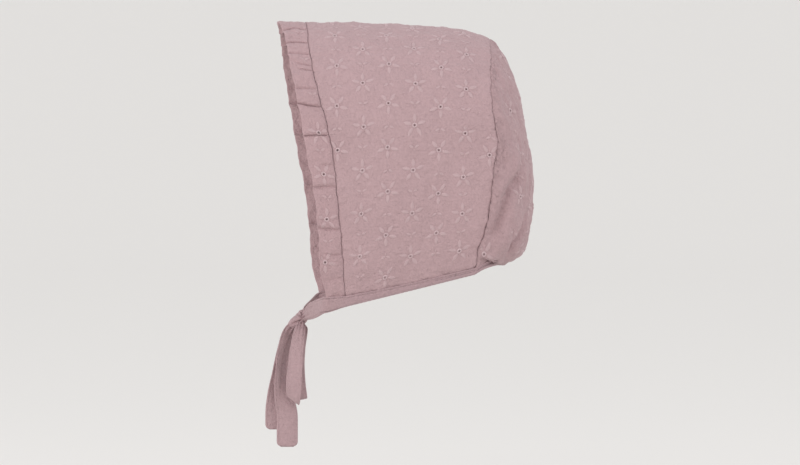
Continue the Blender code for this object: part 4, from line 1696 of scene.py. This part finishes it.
@dataclass
class NeckBinding:
    """The bias strip folded over the neck edge and stitched down."""

    finish: Cotton
    thread: Floss
    height: float = 8.0 * MM
    front_height: float = 10.6 * MM
    held: float = 0.976
    front: float = 0.97
    counts: tuple[int, int, int] = (12, 100, 60)
    overhang: float = 1.3 * MM
    seam_drop: float = 1.42 * MM
    seam_out: tuple[float, float] = (0.86 * MM, 1.86 * MM)
    corner_lift: tuple[float, float] = (0.5 * MM, 9.0 * MM)
    pucker: float = 0.09 * MM
    wall: float = 0.4 * MM
    # (under the upper fold, outwards) in mm of the strip's section, outside and inside
    outer_rows: tuple[tuple[float, float], ...] = (
        (3.0, 0.3), (1.6, 0.25), (0.6, 0.28), (0.1, 0.5), (0.0, 0.8), (0.2, 1.05), (0.7, 1.15),
        (1.15, 0.95),
        (1.4, 0.72), (1.65, 0.95), (2.3, 1.2),
    )
    inner_rows: tuple[tuple[float, float], ...] = (
        (2.3, -1.95), (1.4, -1.7), (0.7, -1.9), (0.2, -1.8), (0.0, -1.55), (0.1, -1.25), (0.6, -1.05),
        (1.6, -1.0), (3.0, -1.0),
    )
    # (over the raw edge, outwards) in mm round the raw edge
    fold_rows: tuple[tuple[float, float], ...] = (
        (-0.3, 1.15), (-0.9, 0.65), (-1.2, -0.1), (-1.2, -0.9), (-0.8, -1.6), (-0.2, -2.0),
    )

    def stations(self) -> tuple[np.ndarray, np.ndarray, np.ndarray]:
        """The neck edge from the left front corner round to the right.

        Returns:
            Points on the raw edge, unit directions up the cloth, and the strip's height at each.
        """
        angles = np.array((FORM.neck_angle, FORM.neck_angle * self.held))[:, None]
        across = np.linspace(self.front, 0.04, self.counts[0])
        along = np.linspace(0.01, 0.995, self.counts[1])
        turn = np.linspace(QUARTER_TURN, 0.0, self.counts[2])
        share = FORM.height_share(angles)
        places = mix(FORM.face_seam_y(share), FORM.back_seam_y(share), along)
        backs = FORM.back(np.array((1.0, self.held))[:, None], turn)
        edge, above = np.concatenate(
            (FORM.ruffle(angles, across), FORM.section(places, angles), backs), axis=1
        )
        low = np.full(len(turn), self.height * BINDING_LINE.rows[-1][1])
        tall = np.concatenate(
            (mix(self.height, self.front_height, across), self.height * BINDING_LINE.at(along), low)
        )
        flip = np.array((-1.0, 1.0, 1.0))
        up = unit(above - edge)
        edge, up = (np.concatenate((side, side[-2::-1] * flip)) for side in (edge, up))
        return edge, smoothed(up), np.concatenate((tall, tall[-2::-1]))

    def profile(self, top: float) -> list[tuple[float, float]]:
        """The strip's section, from one turned-in edge down, round the raw edge and up to the other.

        Args:
            top: Height of the upper fold over the raw edge.

        Returns:
            (rise, distance outwards) of the outer face, in metres.
        """
        outer, inner = (
            [(top - under * MM, out * MM) for under, out in rows]
            for rows in (self.outer_rows, self.inner_rows)
        )
        down = [(0.5 * top, 1.3 * MM), (0.2 * top, 1.32 * MM)]
        up = [(0.3 * top, -2.1 * MM), (0.6 * top, -2.05 * MM)]
        return outer + down + [(rise * MM, out * MM) for rise, out in self.fold_rows] + up + inner

    def course(self) -> tuple[np.ndarray, np.ndarray, np.ndarray, np.ndarray, np.ndarray]:
        """How the strip runs.

        Returns:
            Its raw edge, the ways up and out, its upper fold's height and the length along it.
        """
        edge, up, tall = self.stations()
        edge = smoothed(edge)
        out = unit(np.cross(np.gradient(edge, axis=0), up))
        arc = lengths_along(edge)
        lift, reach = self.corner_lift
        corner = 1.0 - fade(np.minimum(arc, arc[-1] - arc), 0.0, reach)
        return edge + up * (lift * corner)[:, None], up, out, tall, arc

    def build(self) -> None:
        """Makes the strip with its stitched groove and the puckers between stitches."""
        edge, up, out, tall, arc = self.course()
        seam = StitchRow(self.thread)
        rings = []
        for k, raw in enumerate(edge):
            pucker = self.pucker * math.cos(FULL_TURN * arc[k] / seam.pitch)
            rings.append([
                raw + up[k] * rise + out[k] * (aside + pucker * (aside > 0.6 * MM))
                for rise, aside in self.profile(tall[k] - self.overhang)
            ])
        points = np.array(rings).transpose(1, 0, 2)
        shown = len(self.outer_rows)
        strip = cloth_grid("binding_strip", points, [], 0.0, self.wall, self.finish.make(), shown_row=shown)
        settle(strip, "binding_cotton", "neck_binding")
        line = edge + up * (tall - self.overhang - self.seam_drop)[:, None]
        for side, away in zip((1.0, -1.0), self.seam_out):
            seam.run(line + side * out * away, side * out)
        stitching = seam.build("binding_stitching")
        settle(stitching, "binding_cotton")


def read_line(where: float, arc: np.ndarray, values: np.ndarray) -> np.ndarray:
    """Reads points or directions along a line.

    Args:
        where: The length along it.
        arc: The length at each of its points.
        values: What it has at each point, with the coordinates last.

    Returns:
        The value there.
    """
    return np.array([np.interp(where, arc, values[:, axis]) for axis in range(3)])


def smoothed(values: np.ndarray, times: int = 3) -> np.ndarray:
    """Values evened out along their first axis, with the ends kept.

    Args:
        values: The values.
        times: How often they are evened out.

    Returns:
        The smoother values.
    """
    for _ in range(times):
        values = values.copy()
        values[1:-1] = 0.25 * values[:-2] + 0.5 * values[1:-1] + 0.25 * values[2:]
    return values


@dataclass
class Tie:
    """A doubled cotton tie, stitched along both edges, which creases where the knot draws it in."""

    name: str
    node: str
    centres: np.ndarray
    wides: np.ndarray
    finish: Cotton
    flat: tuple[float, float]
    held: str
    sewing: StitchRow
    sewn: tuple[float, float] = (12.0 * MM, 2.0 * MM)
    thickness: tuple[tuple[float, float], ...] = ((0.0, 1.1 * MM), (1.0, 1.1 * MM))
    pleats: tuple[float, float] = (0.0, 0.0)
    pleat_reach: float = 14.0 * MM
    round_end: float = 0.0
    turned_edge: float = 0.0
    seed: int = 1
    stitch_line: float = 0.77
    stitch_groove: tuple[float, float] = (0.5, 0.035)
    stitch_lift: float = 0.1 * MM
    soft: tuple[float, float] = (0.22 * MM, 6.0 * MM)
    half_width: float = 6.5 * MM
    across: tuple[float, ...] = (1.0, 0.965, 0.9, 0.83, 0.77, 0.71, 0.6, 0.45, 0.3, 0.15, 0.0)

    def section(self) -> tuple[np.ndarray, np.ndarray]:
        """The points round the tie's section.

        Returns:
            How far across each is, -1 to 1, and which face it is on, 1 or -1.
        """
        positive = np.array(self.across)
        front = np.concatenate((-positive, positive[-2::-1]))
        face = np.concatenate((np.ones(len(front)), -np.ones(len(front) - 2)))
        return np.concatenate((front, front[-2:0:-1])), face

    def half_widths(self, arc: np.ndarray) -> np.ndarray:
        """Half of the tie's width, with its end rounded off.

        Args:
            arc: The length along it at each section.

        Returns:
            Half widths in metres.
        """
        half = np.linalg.norm(self.wides, axis=-1)
        if self.round_end > 0.0:
            left = np.clip(1.0 - (arc[-1] - arc) / self.round_end, 0.0, 1.0)
            half = half - self.round_end * (1.0 - np.sqrt(1.0 - np.minimum(left, 0.985) ** 2))
        return half

    def lift(self, arc: np.ndarray, half: np.ndarray, v: np.ndarray, face: np.ndarray) -> np.ndarray:
        """How far each point is off the tie's middle plane.

        Args:
            arc: The length along the tie, as a column.
            half: Its half width there, as a column.
            v: How far across each point is, as a row.
            face: Which face it is on, as a row.

        Returns:
            Distances from pleats, soft waves, the cloth's thickness and a turned edge.
        """
        phase = np.random.default_rng(self.seed).uniform(0.0, FULL_TURN, 4)
        ends = [np.exp(-gap / self.pleat_reach) for gap in (arc, arc[-1] - arc)]
        near = self.pleats[0] * ends[0] + self.pleats[1] * ends[1]
        folds = near * (np.cos(3.3 * HALF_TURN * v + phase[0]) + 0.45 * np.cos(7.1 * v + phase[1]))
        height, length = self.soft
        soft = height * np.sin(arc / length + phase[2]) * np.sin(1.7 * v + phase[3])
        edge = np.minimum(1.0, np.sqrt(np.maximum(1.0 - np.abs(v) ** 9, 0.0)))
        depth, reach = self.stitch_groove
        stitched = 1.0 - depth * np.exp(-(((np.abs(v) - self.stitch_line) / reach) ** 2))
        body = 0.5 * np.interp(arc, *np.array(self.thickness).T) * edge * stitched * face
        bend = self.turned_edge * np.maximum(v - 0.25, 0.0) * half * fade(arc / arc[-1], 0.5, 0.72)
        return folds + soft + body - bend

    def build(self) -> None:
        """Makes the tie as one closed body, and sews along its edges."""
        arc = lengths_along(self.centres)
        half = self.half_widths(arc)
        side = unit(self.wides)
        normal = unit(np.cross(unit(np.gradient(self.centres, axis=0)), side))
        v, face = self.section()
        lift = self.lift(arc[:, None], half[:, None], v[None, :], face[None, :])
        rings = self.centres[:, None, :] + side[:, None, :] * (v[None, :] * half[:, None])[..., None]
        rings = rings + normal[:, None, :] * lift[..., None]
        uv = np.stack(np.broadcast_arrays(arc[:, None], v[None, :] * self.half_width), axis=-1)
        tie = swept(self.name, rings, uv, self.finish.make())
        settle(tie, "tie_cotton", self.node)
        for column in np.flatnonzero(np.isclose(np.abs(v), self.stitch_line)):
            off = normal * face[column]
            self.sewing.run(rings[:, column] + off * self.stitch_lift, off, self.sewn)


# (share of the way, inward share, forward share, drop share, width share, lean in degrees) of a chin strap
STRAP_LINE = Line((
    (0.0, 0.0, 0.0, 0.0, 0.835, 0.0),
    (0.12, 0.06, 0.13, 0.10, 0.81, 2.0),
    (0.35, 0.27, 0.42, 0.35, 0.78, 5.0),
    (0.6, 0.54, 0.70, 0.56, 0.73, 8.0),
    (0.85, 0.82, 0.92, 0.72, 0.61, 8.0),
    (1.0, 1.0, 1.0, 0.81, 0.52, 6.0),
))
# (spread share, forward share, drop share, width share, turn, tilt) of the left bow loop, angles in degrees
LEFT_LOOP_LINE = even_line((
    (0.14, 0.00, 0.01, 0.30, 0.0, 0.0),
    (0.34, 0.00, 0.064, 0.40, 0.0, 0.0),
    (0.62, 0.08, 0.15, 0.56, 12.0, 0.0),
    (0.86, 0.20, 0.34, 0.70, 22.0, -4.0),
    (1.0, 0.30, 0.58, 0.76, 26.0, -10.0),
    (0.99, 0.36, 0.80, 0.81, 24.0, -24.0),
    (0.90, 0.38, 0.92, 0.80, 16.0, -34.0),
    (0.70, 0.385, 0.955, 0.77, 8.0, -37.0),
    (0.53, 0.37, 0.90, 0.80, 6.0, -34.0),
    (0.47, 0.34, 0.78, 0.81, 8.0, -24.0),
    (0.43, 0.26, 0.58, 0.78, 8.0, -10.0),
    (0.38, 0.16, 0.34, 0.68, 6.0, -4.0),
    (0.25, 0.05, 0.13, 0.46, 0.0, 0.0),
    (0.12, 0.00, 0.02, 0.30, 0.0, 0.0),
))
RIGHT_LOOP_LINE = even_line((
    (0.14, 0.00, 0.01, 0.30, 0.0, 0.0),
    (0.34, 0.00, 0.064, 0.40, 0.0, 0.0),
    (0.64, -0.09, 0.13, 0.62, -4.0, 0.0),
    (0.90, 0.06, 0.34, 0.74, -8.0, 0.0),
    (1.0, 0.16, 0.58, 0.78, -8.0, 2.0),
    (0.97, 0.14, 0.79, 0.86, -6.0, 4.0),
    (0.86, 0.10, 0.92, 0.92, -4.0, 6.0),
    (0.70, 0.08, 0.965, 0.92, 0.0, 8.0),
    (0.53, 0.10, 0.91, 0.90, 0.0, 6.0),
    (0.45, 0.14, 0.78, 0.84, 0.0, 4.0),
    (0.41, 0.16, 0.58, 0.78, 0.0, 2.0),
    (0.35, 0.08, 0.34, 0.70, 0.0, 0.0),
    (0.25, 0.00, 0.13, 0.46, 0.0, 0.0),
    (0.12, 0.00, 0.02, 0.30, 0.0, 0.0),
))
# (spread share, swing share, drop share, width share, turn, tilt) of each tail, angles in degrees
LEFT_TAIL_LINE = even_line((
    (0.10, 0.02, 0.00, 0.30, 0.0, -30.0),
    (0.32, 0.16, 0.049, 0.42, 0.0, -40.0),
    (0.60, 0.38, 0.100, 0.66, -18.0, -36.0),
    (0.86, 0.62, 0.20, 0.86, -50.0, -16.0),
    (0.90, 0.79, 0.38, 0.97, -64.0, -2.0),
    (0.86, 0.65, 0.58, 1.0, -22.0, 0.0),
    (0.90, 0.52, 0.78, 1.0, 12.0, 0.0),
    (0.90, 0.52, 1.0, 1.0, 10.0, 0.0),
))
RIGHT_TAIL_LINE = even_line((
    (0.10, 0.02, 0.00, 0.30, 0.0, -30.0),
    (0.32, 0.16, 0.056, 0.42, 0.0, -40.0),
    (0.65, 0.36, 0.115, 0.64, 6.0, -36.0),
    (0.95, 0.50, 0.24, 0.86, 20.0, -16.0),
    (1.1, 0.71, 0.46, 0.97, 26.0, -2.0),
    (1.1, 0.87, 0.68, 1.0, 12.0, 0.0),
    (1.0, 0.94, 0.86, 1.0, -4.0, 0.0),
    (1.0, 0.94, 1.0, 1.0, 0.0, 0.0),
))


@dataclass
class ChinBow:
    """The two chin straps and the bow that they are tied in."""

    finish: Cotton
    binding: NeckBinding
    sewing: StitchRow
    width: float = 13.0 * MM
    knot_width: float = 12.5 * MM
    knot_depth: float = 9.4 * MM
    knot_height: float = 9.6 * MM
    knot_rim: Line = Line((
        (0.0, 1.0), (0.17, 1.05), (0.25, 0.92), (0.33, 0.66), (0.42, 0.66), (0.5, 0.96), (0.54, 1.36),
        (0.6, 1.92), (0.67, 1.66), (0.75, 1.14), (0.86, 0.94), (1.0, 1.0),
    ))
    knot_steps: tuple[int, int] = (96, 49)
    knot_crease: float = 0.30
    knot_hollow: tuple[float, float] = (0.42, 0.26)
    knot_wound: tuple[float, float] = (0.05, 13.0)
    gather_point: tuple[float, float] = (0.5, -0.1)
    hollow_points: tuple[tuple[float, float], ...] = ((0.5, 0.52), (0.44, -0.76))
    forward: float = 15.6 * MM
    drop: float = 9.2 * MM
    strap_start: tuple[float, float, float] = (-0.7 * MM, -2.0 * MM, 0.1 * MM)
    strap_tuck: tuple[float, float, float] = (1.5 * MM, -0.5 * MM, -0.4 * MM)
    strap_back: float = 2.6 * MM
    strap_gap: float = 0.3 * MM
    strap_inside: float = 0.4 * MM
    edge_gap: float = 0.1 * MM
    strap_drop: float = 1.2 * MM
    near_wider: float = 0.1
    # (length along the binding, rise of the tie's edge over the binding's) in mm where the strap leaves it
    strap_lead: tuple[tuple[float, float], ...] = (
        (12.0, -0.8), (10.0, -0.5), (8.0, -0.2), (6.0, 0.0), (4.0, 0.15), (2.5, 0.2), (1.0, 0.25),
    )
    strap_thickness: tuple[tuple[float, float], ...] = (
        (0.0, 2.4 * MM), (2.5 * MM, 3.2 * MM), (5.0 * MM, 3.7 * MM), (8.0 * MM, 3.9 * MM),
        (12.0 * MM, 3.8 * MM), (15.0 * MM, 2.9 * MM), (20.0 * MM, 1.6 * MM), (26.0 * MM, 1.1 * MM),
    )
    strap_slip: tuple[float, float] = (0.9 * MM, -0.5 * MM)
    loop_reach: tuple[float, float, float] = (15.5 * MM, 13.0 * MM, 53.0 * MM)
    left_reach: tuple[float, float, float] = (3.4 * MM, 16.0 * MM, 80.0 * MM)
    right_reach: tuple[float, float, float] = (3.4 * MM, 16.0 * MM, 69.5 * MM)

    def binding_end(self) -> tuple[np.ndarray, np.ndarray]:
        """Where the binding's left front end is.

        Returns:
            Its middle, and the way up it.
        """
        binding = self.binding
        edge, above = (FORM.ruffle(FORM.neck_angle * share, binding.front) for share in (1.0, binding.held))
        up = unit(above - edge)
        height = mix(binding.height, binding.front_height, binding.front)
        return edge + up * (0.5 * height - binding.overhang), up

    def knot(self) -> np.ndarray:
        """Middle of the knot."""
        end, _ = self.binding_end()
        return np.array((0.0, end[1] - self.forward, end[2] - self.drop))

    def strap(self, side: int, name: str, node: str) -> Tie:
        """The strap from the binding's end to the knot.

        Args:
            side: 1 on the wearer's left and -1 on the right.
            name: The piece's name.
            node: The node that it stands for.

        Returns:
            The tie.
        """
        start, up = self.binding_end()
        knot = self.knot()
        start = start + self.strap_start
        end = np.array((0.5 * self.knot_width + self.strap_gap, knot[1] + self.strap_back, knot[2]))
        at = np.linspace(0.0, 1.0, 60)
        inward, forward, drop, wide, lean = [STRAP_LINE.at(at, column) for column in range(1, 6)]
        centres = mix(start, end, np.stack((inward, forward, drop), axis=-1))
        middle = np.sin(HALF_TURN * at)
        centres[:, 2] += self.strap_slip[0 if side > 0 else 1] * middle
        wide = wide * (1.0 + (self.near_wider if side > 0 else 0.0) * middle)
        tilt = np.radians(lean)
        way = unit(
            np.stack((up[0] * (1.0 - at) - 0.5 * np.sin(tilt), -np.sin(tilt), np.cos(tilt)), axis=-1)
        )
        edge, rising, out, tall, arc = self.binding.course()
        lead, spans = [], []
        for back, over in self.strap_lead:
            k = int(np.argmin(np.abs(arc[: len(arc) // 2] - back * MM)))
            half = 0.5 * (tall[k] - self.edge_gap)
            lead.append(edge[k] + rising[k] * (half - self.strap_drop) - out[k] * self.strap_inside)
            spans.append(rising[k] * (half + over * MM))
        tail = mix(centres[-1], knot + self.strap_tuck, np.linspace(0.0, 1.0, 8)[1:, None])
        centres = np.concatenate((lead, centres, tail))
        wides = way * (0.5 * self.width * wide)[:, None]
        wides = np.concatenate((spans, wides, np.repeat(wides[-1:], len(tail), axis=0) * 0.9))
        flip = np.array((side, 1.0, 1.0))
        return Tie(
            name, node, smoothed(centres * flip, 4), smoothed(wides * flip, 5), self.finish, (0.011, 0.068),
            "stretched", self.sewing, sewn=(22.0 * MM, 12.0 * MM), thickness=self.strap_thickness,
            pleats=(0.0, 0.75 * MM), pleat_reach=13.0 * MM, seed=5 + side,
        )

    def hanging(
        self, line: Line, side: int, reach: tuple[float, float, float], count: int
    ) -> tuple[np.ndarray, np.ndarray]:
        """Centres and width vectors of a loop or tail.

        Args:
            line: Its rows, in shares of the reach.
            side: 1 on the wearer's left and -1 on the right.
            reach: Its spread, swing and drop.
            count: How many sections it has.

        Returns:
            The centres and the vectors from them to the edge.
        """
        at = np.linspace(0.0, 1.0, count)
        aside, forward, down, wide, turn, tilt = [line.at(at, column) for column in range(1, 7)]
        knot = self.knot()
        centres = knot + np.stack((side * aside * reach[0], -forward * reach[1], -down * reach[2]), axis=-1)
        turn, tilt = np.radians(turn), np.radians(tilt)
        level = np.cos(turn)
        way = np.stack((side * np.sin(turn), level * np.cos(tilt), level * np.sin(tilt)), axis=-1)
        return smoothed(centres, 4), smoothed(way * (0.5 * self.width * wide)[:, None], 4)

    def make_knot(self) -> None:
        """Makes the knot: a band drawn tight round creased cloth."""
        around, along = self.knot_steps
        theta = np.linspace(0.0, FULL_TURN, around, endpoint=False)[None, :]
        x = -np.cos(np.linspace(0.0, HALF_TURN, along))[1:-1][:, None]
        radius = np.sqrt(1.0 - np.abs(x) ** 2.6) * self.knot_rim.at(np.degrees(theta) / 360.0)
        y, z = radius * np.cos(theta), radius * np.sin(theta)
        y_off, z_off = y - self.gather_point[0], z - self.gather_point[1]
        pinch, way = np.hypot(y_off, z_off), np.arctan2(z_off, y_off)
        face = fade(np.abs(x), 0.2, 0.75)
        fan = 0.5 + 0.5 * np.cos(9.0 * way + 1.2 * np.sin(3.0 * way) + np.sign(x) * 0.5)
        crease = self.knot_crease * fan**4 * fade(pinch, 0.2, 0.5) * (1.0 - fade(pinch, 1.5, 2.3)) * face
        depth, reach = self.knot_hollow
        gaps = [np.hypot(y - a, z - b) / reach for a, b in self.hollow_points]
        hollow = sum(depth * np.exp(-(gap**2)) for gap in gaps) * face
        height, count = self.knot_wound
        wound = height * np.cos(count * x + 1.2 * np.sin(theta)) * (1.0 - face)
        radius = radius * (1.0 - crease * 0.25 + wound)
        wide, deep, high = 0.5 * self.knot_width, 0.5 * self.knot_depth, 0.5 * self.knot_height
        aside = wide * x * (1.0 - crease - hollow)
        rings = np.broadcast_arrays(aside, deep * radius * np.cos(theta), high * radius * np.sin(theta))
        rings = np.stack(rings, axis=-1) + self.knot()
        uv = np.stack(np.broadcast_arrays(theta * deep, x * wide), axis=-1)
        settle(swept("knot_wrap", rings, uv, self.finish.make()), "tie_cotton", "bow_knot")

    def build(self) -> None:
        """Makes the knot, the straps, the loops and the tails."""
        self.make_knot()
        self.strap(1, "left_strap", "left_chin_strap").build()
        self.strap(-1, "right_strap", "right_chin_strap").build()
        for name, node, line, side, seed in (
            ("left_loop", "left_bow_loop", LEFT_LOOP_LINE, 1, 11),
            ("right_loop", "right_bow_loop", RIGHT_LOOP_LINE, -1, 12),
        ):
            Tie(
                name, node, *self.hanging(line, side, self.loop_reach, 130), self.finish, (0.0125, 0.11),
                "folded", self.sewing, sewn=(14.0 * MM, 14.0 * MM), pleats=(0.8 * MM, 0.8 * MM),
                pleat_reach=9.0 * MM, seed=seed,
            ).build()
        for name, node, line, side, reach, seed, bend in (
            ("left_end", "left_tail", LEFT_TAIL_LINE, 1, self.left_reach, 13, 0.35),
            ("right_end", "right_tail", RIGHT_TAIL_LINE, -1, self.right_reach, 14, 0.0),
        ):
            Tie(
                name, node, *self.hanging(line, side, reach, 110), self.finish, (0.013, reach[2]), "hung",
                self.sewing, sewn=(14.0 * MM, 3.0 * MM), pleats=(0.7 * MM, 0.0), pleat_reach=14.0 * MM,
                round_end=3.2 * MM, turned_edge=bend, seed=seed,
            ).build()
        settle(self.sewing.build("tie_stitching"), "tie_cotton")


@dataclass
class Studio:
    """The pale paper sweep, the soft lights and the camera at the photograph's angle."""

    floor_z: float = -0.30
    floor_size: float = 26.0
    sweep_height: float = 4.0
    sweep_reach: tuple[float, float] = (5.6, 13.0)
    softbox: float = 1.3
    azimuth: float = math.radians(86.6)
    elevation: float = math.radians(1.2)
    target: tuple[float, float, float] = (0.0, -0.0043, -0.1274)
    frame_width: float = 0.496
    lens: float = 300.0

    def sweep(self) -> None:
        """Lays the paper: a wide floor that bends up smoothly all round, far from the bonnet."""
        bpy.ops.object.select_all(action="DESELECT")
        place = (0.0, 0.0, self.floor_z)
        bpy.ops.mesh.primitive_grid_add(
            x_subdivisions=60, y_subdivisions=60, size=self.floor_size, location=place
        )
        floor = bpy.context.object
        floor.name = "paper_floor"
        bpy.ops.object.transform_apply(location=True, rotation=True, scale=True)
        for vertex in floor.data.vertices:
            vertex.co.z += self.sweep_height * float(fade(math.hypot(*vertex.co.xy), *self.sweep_reach))
        floor.data.shade_smooth()
        floor.data.materials.append(Paper().make())

    def lamp(self, name: str, place: tuple[float, float, float], power: float, colour: str) -> None:
        """Hangs a square softbox that faces the bonnet.

        Args:
            name: The lamp's name.
            place: Where it hangs.
            power: Its power in watts.
            colour: Its colour as sRGB hex.
        """
        data = bpy.data.lights.new(name, "AREA")
        data.shape = "SQUARE"
        data.size = self.softbox
        data.energy = power
        data.color = linear(colour)[:3]
        lamp = bpy.data.objects.new(name, data)
        bpy.context.scene.collection.objects.link(lamp)
        lamp.location = place
        way = np.array(self.target) - np.array(place)
        down = math.acos(way[2] / np.linalg.norm(way)) - HALF_TURN
        lamp.rotation_euler = (down, 0.0, math.atan2(way[1], way[0]) + QUARTER_TURN)

    def world(self) -> None:
        """Even light from a pale room."""
        world = bpy.data.worlds.new("pale_room")
        world.use_nodes = True
        sky = world.node_tree.nodes["Background"]
        sky.inputs["Color"].default_value = linear("F5F5F6")
        sky.inputs["Strength"].default_value = 1.03
        bpy.context.scene.world = world
        bpy.context.scene.view_settings.view_transform = "Standard"

    def camera(self) -> None:
        """Sets up the long-lens camera, level with the bonnet on the wearer's left."""
        data = bpy.data.cameras.new("portrait_camera")
        data.lens = self.lens
        data.sensor_width = 36.0
        data.clip_end = 50.0
        distance = self.frame_width * self.lens / data.sensor_width
        camera = bpy.data.objects.new("portrait_camera", data)
        bpy.context.scene.collection.objects.link(camera)
        back = np.array((
            math.sin(self.azimuth) * math.cos(self.elevation),
            -math.cos(self.azimuth) * math.cos(self.elevation),
            math.sin(self.elevation),
        ))
        camera.location = np.array(self.target) + back * distance
        camera.rotation_euler = (QUARTER_TURN - self.elevation, 0.0, self.azimuth)
        bpy.context.scene.camera = camera

    def build(self) -> None:
        """Builds the stage, the lights and the camera."""
        self.sweep()
        self.world()
        self.lamp("key_softbox", (2.4, -0.7, 0.8), 7.0, "FFFCFC")
        self.lamp("front_softbox", (1.4, -2.1, 0.25), 15.0, "FFFFFF")
        self.lamp("back_softbox", (1.0, 2.3, 0.4), 10.0, "FBFBFF")
        self.camera()


def main() -> None:
    """Builds the pieces in order and reports each."""
    logging.basicConfig(level=logging.INFO, format="%(name)s %(message)s")
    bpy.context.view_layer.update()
    for panel, part, node, lawn, floss in (
        (CrownPanel, "crown", "crown_panel", "B99C9F", "C5A9AC"),
        # Painted shade: the back panel's lawn and floss are darker copies of the crown's, for the back that
        # turns away from the light
        (BackPanel, "back", "back_panel", "B5989B", "C1A5A8"),
        (FaceRuffle, "ruffle", "face_ruffle", "B99B9E", "C5A8AB"),
    ):
        finishes = Cotton(f"{part}_lawn", lawn), Floss(f"{part}_floss", floss)
        panel(f"{part}_cloth", node, f"{part}_cotton", *finishes).build()
    thread = Floss("seam_thread", "B99EA1")
    # Painted shade: the binding's lawn is a darker copy of the crown's, for the neck edge in shade
    binding = NeckBinding(Cotton("binding_lawn_painted_shade", "B2969A"), thread)
    binding.build()
    # Painted shade: the ties' lawn is a darker copy of the crown's, for the straps, bow and tails in shade
    ChinBow(Cotton("tie_lawn_painted_shade", "B4989B"), binding, StitchRow(thread)).build()
    Studio().build()
    bpy.context.view_layer.update()


if __name__ == "__main__":
    main()
